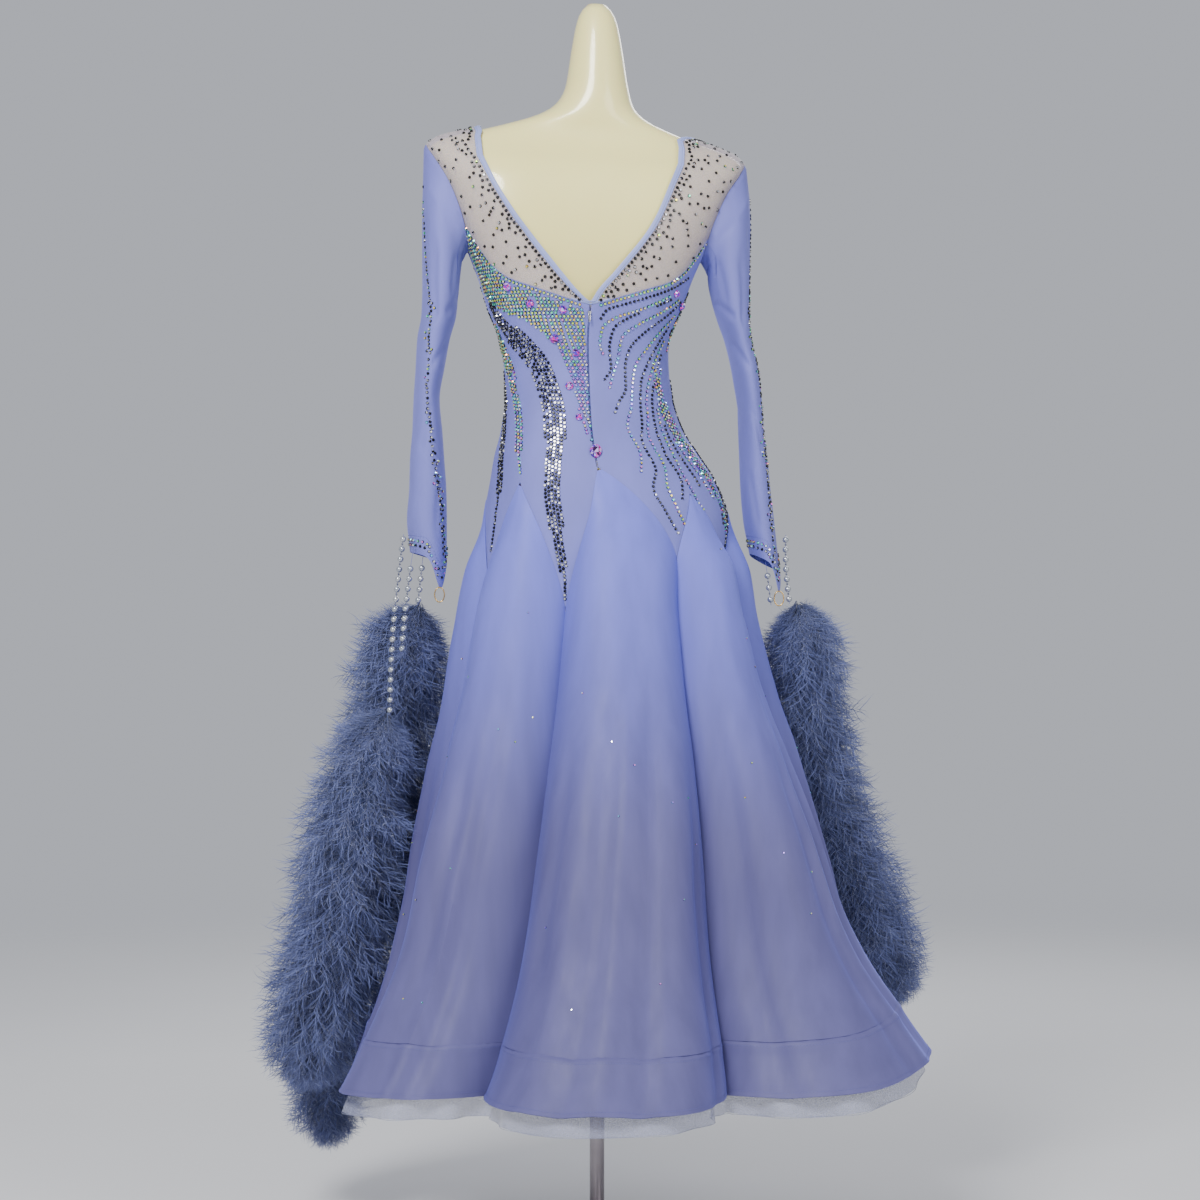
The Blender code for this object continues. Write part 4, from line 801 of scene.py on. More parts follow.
def make_finishes():
    made = {
        "stretch": cloth_finish("stretch_cloth_dyed", STRETCH_COLOUR, 0.62, 0.45, 1300.0, (3.0, 3.0, 1.0)),
        "skirt": skirt_finish("organza_skirt", 0.54),
        "band": skirt_finish("hem_band_satin", 0.52),
        "binding": cloth_finish("neck_binding_cloth", (0.30, 0.35, 0.68), 0.50, 0.5, 1600.0, (2, 2, 2)),
        "net": sheer_finish("yoke_net", (0.60, 0.52, 0.60), 0.38, 1400.0, 0.12),
        "crin": sheer_finish("crin_frill", (0.30, 0.32, 0.46), 0.40, 900.0, 0.40),
        "seam": cloth_finish("seam_edges", shaded(STRETCH_COLOUR, 0.75), 0.6, 0.3, 1500.0, (1, 1, 1)),
        "thread": cloth_finish("stitching", shaded(STRETCH_COLOUR, 0.62), 0.5, 0.2, 2500.0, (1, 1, 1)),
        "zip": cloth_finish("zip_tape_weave", (0.17, 0.19, 0.48), 0.6, 0.2, 2200.0, (1, 1, 4)),
    }
    coil = Finish("zip_coil_nylon", (0.18, 0.20, 0.50), 0.35)
    coil.roughened(coil.noise(600.0), 0.28, 0.42)
    form = Finish(
        "form_shell_lacquer", FORM_COLOUR, 0.34, Coat_Weight=0.8, Coat_Roughness=0.12, Subsurface_Weight=0.08,
        Subsurface_Scale=0.01,
    )
    mottle = form.ramp(form.noise(5.0, 5.0), shaded(FORM_COLOUR, 0.96), shaded(FORM_COLOUR, 1.01))
    # Painted shade: the form's colour darkens and yellows towards the bottom of the back, below the lit shoulder
    # blades.
    depth = form.ramp(form.height_share(1.20, 1.42), (0.84, 0.82, 0.76), (1.0, 1.0, 1.0), 0.0, 1.0)
    form.set(Base_Color=form.blend(1.0, mottle, depth, "MULTIPLY"))
    form.roughened(form.noise(60.0, 4.0), 0.33, 0.45)
    form.bumped(form.noise(260.0, 3.0), 0.06, 0.3 * MM)
    for name, key, colour, roughness in (
        ("stand_brushed_steel", "stand", (0.34, 0.31, 0.33), 0.34), ("zip_nickel", "nickel", (0.62, 0.62, 0.66), 0.22),
        ("loop_gold", "gold", (0.80, 0.52, 0.18), 0.20),
    ):
        metal = Finish(name, colour, roughness, 1.0)
        metal.roughened(metal.noise(300.0, 3.0, (1.0, 1.0, 0.05)), roughness - 0.06, roughness + 0.10)
        metal.set(Base_Color=metal.ramp(metal.noise(40.0), shaded(colour, 0.93), shaded(colour, 1.05)))
        made[key] = metal
    pearl = Finish("pearl_lacquer", (0.34, 0.37, 0.41), 0.18, 0.65, Coat_Weight=0.8, Coat_Roughness=0.06)
    pearl.set(Base_Color=pearl.ramp(pearl.noise(90.0, 2.0), (0.30, 0.34, 0.41), (0.47, 0.48, 0.49)))
    spacer = Finish("pearl_spacer", (0.10, 0.11, 0.16), 0.2, 0.6)
    spacer.roughened(spacer.noise(500.0), 0.15, 0.3)
    dark = Finish("dark_crystal", (0.045, 0.05, 0.075), 0.16, 0.80)
    cloud = dark.ramp(dark.noise(400.0), (0.80, 0.80, 0.82), (1.0, 1.0, 1.0))
    # The tint attribute holds the facets' near black and, on some, silver that is a painted glint.
    dark.set(Base_Color=dark.blend(1.0, dark.from_attribute("tint"), cloud, "MULTIPLY"))
    dark.roughened(dark.noise(400.0), 0.24, 0.36)
    aurora = Finish("aurora_crystal", (0.7, 0.8, 0.9), 0.14, 0.60, Coat_Weight=0.5, Coat_Roughness=0.05)
    shift = aurora.ramp(aurora.noise(700.0, 1.0), (0.80, 0.88, 1.0), (1.0, 0.92, 1.0))
    tint = aurora.blend(0.6, aurora.from_attribute("tint"), shift, "MULTIPLY")
    # Painted glow: the facet colours are also emitted, so the aurora stones and the large stones shine a little without
    # a lamp.
    aurora.set(Base_Color=tint, Emission_Color=tint, Emission_Strength=0.26)
    down = Finish("marabou_down", BOA_TIP_COLOUR, 0.75, Sheen_Weight=0.5, Sheen_Roughness=0.5)
    # Tone runs from the roots to the tips: the darker roots are painted shade inside the boa.
    tone = down.blend(down.from_attribute("tone"), BOA_SHADED_ROOT_COLOUR, BOA_TIP_COLOUR)
    patches = down.ramp(down.noise(22.0, 3.0), (0.74, 0.76, 0.80), (1.0, 1.0, 1.0))
    down.set(Base_Color=down.blend(1.0, tone, patches, "MULTIPLY"))
    # The core has the dark root colour: painted shade filling the middle of the boa.
    core = Finish("boa_core_down", BOA_SHADED_ROOT_COLOUR, 0.95, Sheen_Weight=0.6)
    core.set(Base_Color=core.ramp(core.noise(160.0, 4.0), shaded(BOA_SHADED_ROOT_COLOUR, 0.7), shaded(BOA_SHADED_ROOT_COLOUR, 1.5)))
    core.bumped(core.noise(220.0, 4.0), 1.0, 3 * MM)
    made.update(coil=coil, form=form, pearl=pearl, spacer=spacer, dark=dark, aurora=aurora, down=down, core=core)
    return made


FINISHES = make_finishes()

# ---------------------------------------------------------------- making pieces


def deselect():
    bpy.ops.object.select_all(action="DESELECT")


def add_primitive(name, operator, **settings):
    deselect()
    operator(**settings)
    obj = bpy.context.object
    obj.name = obj.data.name = name
    in_place(obj)
    return obj


def add_object(name, data):
    obj = bpy.data.objects.new(name, data)
    bpy.context.scene.collection.objects.link(obj)
    return obj


def make_active(obj):
    deselect()
    obj.select_set(True)
    bpy.context.view_layer.objects.active = obj


def apply_modifier(obj, kind, **settings):
    make_active(obj)
    modifier = obj.modifiers.new(kind.lower(), kind)
    for key, value in settings.items():
        setattr(modifier, key, value)
    bpy.ops.object.modifier_apply(modifier=modifier.name)


@contextlib.contextmanager
def editing(obj):
    make_active(obj)
    bpy.ops.object.mode_set(mode="EDIT")
    yield
    bpy.ops.object.mode_set(mode="OBJECT")


def edit_whole(obj, action, **settings):
    """Selects the whole mesh and runs one edit-mode operator on it."""
    with editing(obj):
        bpy.ops.mesh.select_all(action="SELECT")
        action(**settings)


def join(objects):
    deselect()
    for obj in objects:
        obj.select_set(True)
    bpy.context.view_layer.objects.active = objects[0]
    if len(objects) > 1:
        bpy.ops.object.join()
    return bpy.context.object


def round_off(obj, degrees=40):
    make_active(obj)
    bpy.ops.object.shade_smooth_by_angle(angle=math.radians(degrees))


def declare(obj, finish, slot, *nodes, body=GOWN_BODY):
    """Gives a finished piece its material and its body, and hides the CAD nodes that it stands for. The slot is not
    used.
    """
    obj.data.materials.clear()
    obj.data.materials.append(FINISHES[finish].material)
    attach(obj, body)
    if nodes:
        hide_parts(*nodes)


def in_place(obj):
    """Puts the object's own place, turn and scale into its mesh."""
    make_active(obj)
    bpy.ops.object.transform_apply(location=True, rotation=True, scale=True)


def fade(low, high, values):
    share = np.clip((values - low) / (high - low), 0.0, 1.0)
    return share * share * (3 - 2 * share)


def crease_heights(creases, across, down, width, length, wraps=False):
    """How far the creases press the cloth in or out at places given as arrays of shares."""
    total = np.zeros(np.broadcast(across, down).shape)
    for start_u, start_v, end_u, end_v, bow, half_width, height in creases:
        ahead = (end_u - start_u + 0.5) % 1.0 - 0.5 if wraps else end_u - start_u
        beside = (across - start_u + 0.5) % 1.0 - 0.5 if wraps else across - start_u
        run_x, run_y = ahead * width, (end_v - start_v) * length
        share = (beside * width * run_x + (down - start_v) * length * run_y) / (run_x**2 + run_y**2)
        share = np.clip(share, 0.0, 1.0)
        bend = bow * np.sin(math.pi * share) * width
        off_x = beside * width - share * run_x - bend
        off_y = (down - start_v) * length - share * run_y
        ends = fade(0.0, 0.3, share) * fade(0.0, 0.2, 1 - share)
        near = np.exp(-(off_x**2 + off_y**2) / (half_width * MM) ** 2)
        total += height * MM * near * ends
    return total


class Cut:
    """The flat size of the cloth in a piece: its greatest width and length, and its area, in metres."""

    def __init__(self, grid):
        across = np.linalg.norm(np.diff(grid, axis=1), axis=2)
        down = np.linalg.norm(np.diff(grid, axis=0), axis=2)
        self.widths = across.sum(axis=1)
        self.width = float(self.widths.max())
        self.length = float(down.sum(axis=0).max())
        first, second = grid[1:, 1:] - grid[:-1, :-1], grid[1:, :-1] - grid[:-1, 1:]
        self.area = float(np.linalg.norm(np.cross(first, second), axis=2).sum() / 2)


def same(share):
    return share


def cloth_grid(name, columns, rows, place, creases=(), spread=same, facing=1, closed=False,
               ripple=0.0, seam_dip=0.0, extra=None):
    """A grid whose points are put on the cloth's outer side by place(across, down), then creased."""
    obj = add_primitive(name, bpy.ops.mesh.primitive_grid_add, x_subdivisions=columns, y_subdivisions=rows, size=1)
    across = np.array([spread(column / columns) for column in range(columns + 1)])
    grid = np.array([[place(float(u), row / rows) for u in across] for row in range(rows + 1)])
    cut = Cut(grid)
    if closed:
        sideways = np.roll(grid[:, :-1], -1, axis=1) - np.roll(grid[:, :-1], 1, axis=1)
        sideways = np.concatenate([sideways, sideways[:, :1]], axis=1)
    else:
        sideways = np.gradient(grid, axis=1)
    normals = np.cross(sideways, np.gradient(grid, axis=0)) * facing
    normals /= np.maximum(np.linalg.norm(normals, axis=2, keepdims=True), 1e-12)
    down = (np.arange(rows + 1) / rows)[:, None]
    widths = np.maximum(cut.widths, 1 * MM)[:, None]
    heights = crease_heights(creases, across[None, :], down, widths, cut.length, closed)
    if ripple:
        heights += ripple * np.array([[noise.noise(Vector(point) * 11) for point in line] for line in grid])
    if not closed:
        edge = np.minimum(across, 1 - across)[None, :] * widths
        heights = heights * fade(0.0, 16 * MM, edge) - seam_dip * np.exp(-((edge / (5 * MM)) ** 2))
    if extra is not None:
        heights = heights + extra(across[None, :], down, cut)
    grid = grid + normals * heights[..., None]
    shares = np.array([tuple(vertex.co) for vertex in obj.data.vertices])
    column_numbers = np.rint((shares[:, 0] + 0.5) * columns).astype(int)
    row_numbers = np.rint((0.5 - shares[:, 1]) * rows).astype(int)
    obj.data.vertices.foreach_set("co", grid[row_numbers, column_numbers].astype(np.float32).ravel())
    obj.data.update()
    if facing > 0:
        edit_whole(obj, bpy.ops.mesh.flip_normals)
    if closed:
        edit_whole(obj, bpy.ops.mesh.remove_doubles, threshold=0.02 * MM)
    return obj, cut


def finish_cloth(obj, cuts, thickness, finish, slot, nodes, flat=None):
    apply_modifier(obj, "SOLIDIFY", thickness=thickness, offset=-1.0, use_even_offset=False)
    round_off(obj)
    declare(obj, finish, slot, *nodes)
    width, length = flat or (max(cut.width for cut in cuts), max(cut.length for cut in cuts))
    area = min(sum(cut.area for cut in cuts), width * length)
    return obj


def chance_direction(chance):
    return Vector((chance.uniform(-1, 1), chance.uniform(-1, 1), chance.uniform(-1, 1)))


def turned_frame(point, normal, along):
    """A matrix that stands something at a point, its Z along the normal and its X near the direction along."""
    z = Vector(normal).normalized()
    x = Vector(along) - z * z.dot(Vector(along))
    if x.length < 1e-6:
        x = z.orthogonal()
    x.normalize()
    y = z.cross(x)
    turn = Matrix((x, y, z)).transposed().to_4x4()
    return Matrix.Translation(point) @ turn


def scatter(name, model, matrices, tint=None, tone=None):
    """One mesh with a copy of the model at each matrix, each facet coloured by tint(matrix, is_table)."""
    corners = np.array([tuple(vertex.co) for vertex in model.data.vertices])
    faces = [tuple(polygon.vertices) for polygon in model.data.polygons]
    points, all_faces = [], []
    for number, matrix in enumerate(matrices):
        placed = np.array(matrix)
        points.append(corners @ placed[:3, :3].T + placed[:3, 3])
        start = number * len(corners)
        all_faces += [tuple(start + corner for corner in face) for face in faces]
    mesh = bpy.data.meshes.new(name)
    mesh.from_pydata(np.concatenate(points).tolist(), [], all_faces)
    if tint is not None:
        attribute = mesh.color_attributes.new("tint", "FLOAT_COLOR", "CORNER")
        counts = [len(polygon.vertices) for polygon in model.data.polygons] * len(matrices)
        tables = [polygon.normal.z > 0.9 for polygon in model.data.polygons]
        colours = np.array([(*tint(matrix, table), 1.0) for matrix in matrices for table in tables])
        attribute.data.foreach_set("color", np.repeat(colours, counts, axis=0).astype(np.float32).ravel())
    if tone is not None:
        attribute = mesh.attributes.new("tone", "FLOAT", "POINT")
        attribute.data.foreach_set("value", np.tile(tone, len(matrices)).astype(np.float32))
    bpy.data.objects.remove(model, do_unlink=True)
    return add_object(name, mesh)


# ---------------------------------------------------------------- form and stand

FORM_COLUMNS = 96
FORM_ROWS = 150
# Angle and half width in degrees, height and half height, rise
SHOULDER_BLADE = (32, 13, 1.345, 0.045, 3.5 * MM)
SPINE_DEPTH = 5.0 * MM
SPINE_HALF_WIDTH = 13
BASE_RIM = 6 * MM
# The share of the base's radius over which its top rises
BASE_CONE = 0.7


def make_form():
    low, high = TORSO[0][0] + 0.02, TORSO[-1][0] - 1.5 * MM

    def place(across, down):
        height = mix(high, low, down ** 0.85)
        degrees = 360 * across
        point = torso_point(degrees, height) - torso_normal(degrees, height) * FORM_CLEARANCE
        return point + outward(0) * (blade_height(degrees, height) - spine_depth(degrees, height))

    form, _ = cloth_grid("form_shell", FORM_COLUMNS, FORM_ROWS, place, closed=True)
    apply_modifier(form, "SMOOTH", factor=0.5, iterations=4)
    with editing(form):
        bpy.ops.mesh.select_all(action="DESELECT")
        bpy.ops.mesh.select_non_manifold()
        bpy.ops.mesh.edge_face_add()
    round_off(form, 60)
    declare(form, "form", "form_shell", "dress_form")


def blade_height(degrees, height):
    """The low rise of a shoulder blade on each side of the form's back."""
    angle, half_width, middle, half_height, rise = SHOULDER_BLADE
    away = abs((degrees + 180) % 360 - 180) - angle
    return rise * math.exp(-((away / half_width) ** 2) - ((height - middle) / half_height) ** 2)


def spine_depth(degrees, height):
    """The hollow down the middle of the form's back."""
    away = (degrees + 180) % 360 - 180
    long_way = smooth_step(1.10, 1.24, height) * smooth_step(1.46, 1.38, height)
    return SPINE_DEPTH * math.exp(-((away / SPINE_HALF_WIDTH) ** 2)) * long_way


def make_stand():
    pole_low, pole_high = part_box("stand_pole")
    radius = (pole_high.x - pole_low.x) / 2
    pole = add_primitive(
        "pole", bpy.ops.mesh.primitive_cylinder_add, vertices=64, radius=radius,
        depth=pole_high.z - pole_low.z, location=(0, 0, (pole_low.z + pole_high.z) / 2),
    )
    apply_modifier(pole, "BEVEL", width=0.4 * MM, segments=2)
    round_off(pole, 30)
    declare(pole, "stand", "stand_metal", "stand_pole")
    _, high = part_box("stand_base")
    base = add_primitive(
        "base_plate", bpy.ops.mesh.primitive_cylinder_add, vertices=128, radius=high.x, depth=BASE_RIM,
        location=(0, 0, BASE_RIM / 2),
    )
    raise_top(base, high)
    apply_modifier(base, "BEVEL", width=1.2 * MM, segments=3, limit_method="ANGLE", angle_limit=math.radians(40))
    round_off(base, 30)
    declare(base, "stand", "stand_metal", "stand_base")


def raise_top(base, high):
    """Insets the plate's top face and raises it into a low cone."""
    mesh = base.data
    top = {vertex.index for vertex in mesh.vertices if vertex.co.z > BASE_RIM / 2}
    for vertex in mesh.vertices:
        vertex.select = vertex.index in top
    for line in (*mesh.edges, *mesh.polygons):
        line.select = set(line.vertices) <= top
    with editing(base):
        bpy.ops.mesh.select_mode(type="FACE")
        bpy.ops.mesh.inset(thickness=high.x * BASE_CONE)
        bpy.ops.transform.translate(value=(0, 0, high.z - BASE_RIM))


# ---------------------------------------------------------------- bodice, yokes and binding

SECTOR_COLUMNS = 18
PANEL_ROWS = 62
TONGUE_ROWS = 26
NET_ROWS = 26
BINDING_ROWS = 14


def make_bodice_panel(name, first, last):
    panel, cut = cloth_grid(
        name + "_cloth", (last - first) * SECTOR_COLUMNS, PANEL_ROWS, lambda u, v: bodice_point(first, last, u, v),
        BODICE_CREASES[name], ripple=0.5 * MM, seam_dip=0.3 * MM,
    )
    pieces, cuts = [panel], [cut]
    for index in range(first, last):
        tongue, cut = cloth_grid(
            "tongue", SECTOR_COLUMNS, TONGUE_ROWS, functools.partial(bodice_tongue, index), ripple=0.5 * MM,
            extra=tongue_sides,
        )
        pieces.append(tongue)
        cuts.append(cut)
    cloth = join(pieces)
    edit_whole(cloth, bpy.ops.mesh.remove_doubles, threshold=0.15 * MM)
    length = cuts[0].length + max(cut.length for cut in cuts[1:])
    return finish_cloth(
        cloth, cuts, CLOTH, "stretch", "stretch_cloth", [name], (cuts[0].width, length),
    )


def tongue_sides(across, down, cut):
    """The seams' slight dip along a tongue's two sides, from below the panel's edge."""
    widths = np.maximum(cut.widths, 1 * MM)[:, None]
    edge = np.minimum(across, 1 - across) * widths
    return -0.5 * MM * np.exp(-((edge / (4 * MM)) ** 2)) * fade(0.0, 0.25, down)


def make_yoke(name, side):
    line = [
        (inner, outer) for inner, outer in yoke_line(side)
        if share_at(inner, outer, BINDING_WIDTH + 6 * MM) < 1.0
    ]
    starts = [share_at(inner, outer, BINDING_WIDTH + SEAM_GAP) for inner, outer in line]
    last = len(line) - 1

    def place(across, down):
        number = round(across * last)
        inner, outer = line[number]
        return torso_between(inner, outer, mix(starts[number], 1.0, down))

    yoke, cut = cloth_grid(name + "_cloth", last, NET_ROWS, place, facing=side, ripple=0.6 * MM)
    return finish_cloth(yoke, [cut], NET, "net", "mesh_net", [name])


def binding_line():
    left = yoke_line(1)
    right = [((360 + a, b), (360 + c, d)) for (a, b), (c, d) in reversed(yoke_line(-1))]
    return left + right


def make_binding():
    line = binding_line()
    count = len(line)
    ends = []
    for inner, outer in line:
        share = share_at(inner, outer, BINDING_WIDTH)
        if share >= 1.0:
            share = 1.0 - SEAM_GAP / (torso_between(inner, outer, 0) - torso_between(inner, outer, 1)).length
        ends.append(share)

    def place(across, down):
        number = round(across * count) % count
        inner, outer = line[number]
        return torso_between(inner, outer, ends[number] * down)

    def fold(across, down, _):
        return 0.9 * MM * np.sin(math.pi * down) ** 0.6 - 0.7 * MM * np.exp(-(((down - 0.72) / 0.06) ** 2)) + 0 * across

    binding, cut = cloth_grid("neck_binding_cloth", count, BINDING_ROWS, place, closed=True, extra=fold)
    return finish_cloth(
        binding, [cut], CLOTH, "binding", "binding_cloth", ["neck_binding"],
        (cut.width, BINDING_WIDTH + 2.2 * MM),
    )


# ---------------------------------------------------------------- skirt

GODET_COLUMNS = 46
GODET_ROWS = 96
BAND_ROWS = 16
# How far the hem band reaches up behind the godets
BAND_TUCK = 2.5 * MM
# The puckers along the seam between them
PUCKERS = 170
# Each godet's width at the hem band and its length, measured as it is made
HEM_WIDTHS, GODET_LENGTHS = {}, {}


def make_godet(index):
    name = "godet_" + GODETS[index].name
    place = functools.partial(godet_point, index)
    godet, cut = cloth_grid(
        name + "_cloth", GODET_COLUMNS, GODET_ROWS, place, GODET_CREASES[GODETS[index].name], column_share,
        ripple=2.4 * MM, seam_dip=-0.4 * MM,
    )
    HEM_WIDTHS[index] = float(cut.widths[-1])
    GODET_LENGTHS[index] = cut.length
    return finish_cloth(
        godet, [cut], CLOTH, "skirt", "organza", [name],
    )


def band_heights(across, down, _):
    """The godets' creases carried on into the hem band, its seam puckers and its rolled lower edge."""
    columns = across.shape[1] - 1
    heights = np.zeros((down.shape[0], columns + 1))
    for index in range(len(GODETS)):
        start, end = index * columns // len(GODETS), (index + 1) * columns // len(GODETS)
        shares = np.array([column_share((n - start) / (end - start)) for n in range(start, end + 1)])[None, :]
        creases = GODET_CREASES[GODETS[index].name]
        carried = crease_heights(creases, shares, np.ones((1, 1)), HEM_WIDTHS[index], GODET_LENGTHS[index])
        edge = np.minimum(shares, 1 - shares) * HEM_WIDTHS[index]
        heights[:, start:end + 1] = carried * fade(0.0, 16 * MM, edge) * (1 - 0.25 * down)
    turn = 2 * math.pi * across
    puckers = 0.6 * MM * np.sin(turn * PUCKERS + 2 * np.sin(turn * 13)) * np.exp(-((down / 0.22) ** 2))
    seam = 0.9 * MM * np.exp(-(((down - 0.12) / 0.09) ** 2)) - 2.0 * MM * np.exp(-((down / 0.03) ** 2))
    stitched = -0.5 * MM * np.exp(-(((down - 0.90) / 0.03) ** 2))
    return heights + puckers + seam + stitched


def make_hem_band():
    band, cut = cloth_grid(
        "hem_band_cloth", len(GODETS) * GODET_COLUMNS, BAND_ROWS,
        lambda u, v: hem_point(u % 1.0, mix(BAND_TOP + BAND_TUCK, HEM, v)), closed=True, extra=band_heights,
    )
    return finish_cloth(band, [cut], BAND_CLOTH, "band", "band_cloth", ["hem_band"])


FRILL_COLUMNS = 656
FRILL_ROWS = 10
FRILL_WAVES = 41


def make_frill():
    def place(across, down):
        point = hem_point(across % 1.0, mix(FRILL_TOP, HEM, down))
        before, after = hem_point((across - 0.004) % 1.0, HEM), hem_point((across + 0.004) % 1.0, HEM)
        normal = (after - before).cross(Vector((0, 0, -1))).normalized()
        turn = 2 * math.pi * across
        rise = 3.0 * MM * (1 + math.sin(9 * turn + 0.5)) * (1 + 0.6 * math.sin(4 * turn + 1)) / 2 * down ** 2
        return point - normal * FRILL_INSET - Vector((0, 0, (HEM - FRILL_HEM) * down - rise))

    def waves(across, down, _):
        turn = 2 * math.pi * across
        phase = FRILL_WAVES * turn + 1.3 * np.sin(3 * turn) + 0.9 * np.sin(7 * turn + 1)
        size = 5.4 * MM * (1 + 0.4 * np.sin(5 * turn + 2))
        return size * np.sin(phase + 0.8 * down) * fade(0.0, 1.0, down)

    frill, cut = cloth_grid("hem_frill_cloth", FRILL_COLUMNS, FRILL_ROWS, place, closed=True, extra=waves)
    finish_cloth(frill, [cut], NET, "crin", "crin", ["hem_frill"])
    return [tuple(frill_edge(number / FRILL_COLUMNS, place, waves)) for number in range(FRILL_COLUMNS)]


def frill_edge(share, place, waves):
    point, after = place(share, 1.0), place((share + 0.002) % 1.0, 1.0)
    normal = (after - point).cross(Vector((0, 0, -1))).normalized()
    return point + normal * float(waves(np.array(share), np.array(1.0), None))


def make_cord(name, routes, radius, finish, slot, closed=False):
    """Thin round lines through lists of places."""
    curve = bpy.data.curves.new(name, "CURVE")
    curve.dimensions = "3D"
    curve.bevel_depth = radius
    curve.bevel_resolution = 1
    for route in routes:
        spline = curve.splines.new("POLY")
        spline.points.add(len(route) - 1)
        for point, place in zip(spline.points, route):
            point.co = (*place, 1.0)
        spline.use_cyclic_u = closed
    make_active(add_object(name, curve))
    bpy.ops.object.convert(target="MESH")
    cord = bpy.context.object
    round_off(cord, 60)
    declare(cord, finish, slot)


def make_seam_cords():
    """Sewn edges that close the seams under the yoke and down the middle of the back."""

    def inside(degrees, height):
        return torso_point(degrees, height) - torso_normal(degrees, height) * 0.8 * MM

    routes = [[inside(degrees / 2, from_table(BACK_YOKE_SEAM, abs(degrees / 2))) for degrees in range(-143, 144)]]
    for side in (1, -1):
        angles = [half_degrees / 2 for half_degrees in range(217, 361)]
        routes.append([inside(side * degrees, from_table(FRONT_YOKE_SEAM, degrees)) for degrees in angles])
    for high, low in ((BACK_NECKLINE[1][0][1] - 3 * MM, ZIP_TOP - 8 * MM), (ZIP_BOTTOM + 6 * MM, apex(0)[1] - 1 * MM)):
        heights = [mix(high, low, number / 30) for number in range(31)]
        routes.append([inside(zip_angle(height), height) for height in heights])
    make_cord("seam_cords", routes, 0.55 * MM, "seam", "stretch_cloth")
    foot = [inside(degrees, from_table(BACK_YOKE_SEAM, abs(degrees)) + 1.1 * MM) for degrees in range(-8, 9)]
    make_cord("neck_binding_foot", [foot], 1.5 * MM, "binding", "binding_cloth")


# ---------------------------------------------------------------- sleeves

SLEEVE_COLUMNS = 72
SLEEVE_ROWS = 150


def make_sleeve(name, side, shape):
    def hem(across, down, _):
        fold = -0.4 * MM * np.exp(-(((down - 0.965) / 0.008) ** 2))
        return fold + 0 * across

    sleeve, cut = cloth_grid(
        name + "_cloth", SLEEVE_COLUMNS, SLEEVE_ROWS, lambda u, v: shape.point(u % 1.0, v), SLEEVE_CREASES,
        facing=side, closed=True, ripple=1.0 * MM, extra=hem,
    )
    return finish_cloth(
        sleeve, [cut], CLOTH, "stretch", "stretch_cloth", [name],
    )


def make_finger_loop(node):
    low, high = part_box(node)
    wire = 0.8 * MM
    loop = add_primitive(
        node + "_wire", bpy.ops.mesh.primitive_torus_add, major_segments=48, minor_segments=10,
        major_radius=(high.x - low.x) / 2 - wire, minor_radius=wire, rotation=(math.radians(90), 0, 0),
    )
    tall = (high.z - low.z) / 2 - wire
    stretch = tall / ((high.x - low.x) / 2 - wire)
    for vertex in loop.data.vertices:
        reach = math.hypot(vertex.co.x, vertex.co.z)
        vertex.co.z += (stretch - 1) * vertex.co.z * ((high.x - low.x) / 2 - wire) / reach
    loop.location = (low + high) / 2
    in_place(loop)
    round_off(loop, 60)
    declare(loop, "gold", "gold_wire", node)


# ---------------------------------------------------------------- boas

PLUMES_PER_METRE = 2600
PLUME_BARBS = 26
PLUME_MODELS = 3
GOLDEN_ANGLE = 2.39996
# Degrees that a plume leans away from the boa's line, at the boa's top and at its end, and more where it clumps
PLUME_LEANS = (52, 20)
CLUMP_LEAN = 26
# How far a plume may reach outside the solids' box
PLUME_PAST_BOX = 18 * MM
# Shares of the boa's radius
PLUME_REACH = 1.20
CLUMP_REACH = 0.35
MOST_REACH = 1.50
CORE_SHARE = 0.56
CORE_COLUMNS = 28
CORE_ROWS = 90


def make_plume(number):
    """One small down plume along +Z, a metre long, its soft barbs spread round a thin quill."""
    chance = random.Random(number)
    plume = add_primitive("plume", bpy.ops.mesh.primitive_plane_add, size=1)
    points, faces, tones = [], [], []

    def blade(root, tip, width, sag):
        side = (tip - root).cross(chance_direction(chance)).normalized()
        middle = root.lerp(tip, 0.55) + sag
        start = len(points)
        points.extend([
            root - side * width / 2, root + side * width / 2,
            middle + side * width * 0.4, middle - side * width * 0.4, tip,
        ])
        faces.extend([(start, start + 1, start + 2, start + 3), (start + 3, start + 2, start + 4)])

    blade(Vector(), Vector((0, 0.05, 0.94)), 0.018, Vector((0, -0.05, 0)))
    # Tone rises from a plume's root to its tips, and darkens the roots as painted shade.
    tones += [0.0, 0.0, 0.4, 0.4, 0.8]
    for barb in range(PLUME_BARBS):
        place = 0.16 + 0.80 * barb / PLUME_BARBS
        turn = barb * 2.4 + chance.uniform(-0.5, 0.5)
        lean = math.radians(chance.uniform(24, 58))
        size = mix(0.40, 0.30, place) * chance.uniform(0.75, 1.25)
        root = Vector((0, 0.05 * place - 0.1 * place * (1 - place), 0.94 * place))
        away = Vector((math.cos(turn) * math.sin(lean), math.sin(turn) * math.sin(lean), math.cos(lean)))
        sag = chance_direction(chance) * 0.035
        blade(root, root + away * size, 0.0105, sag)
        deep = place * 0.7
        tones += [deep, deep, min(deep + 0.25, 1), min(deep + 0.25, 1), min(deep + 0.5, 1)]
    plume.data.clear_geometry()
    plume.data.from_pydata([tuple(point) for point in points], [], faces)
    return plume, tones


def room(start, direction):
    """How far a plume may reach in a direction before it is too far outside the solids' box."""
    if abs(direction.x) < 0.05:
        return 1.0
    side = 1 if direction.x > 0 else 0
    return (FRAME_BOX[side][0] + (2 * side - 1) * PLUME_PAST_BOX - start.x) / direction.x


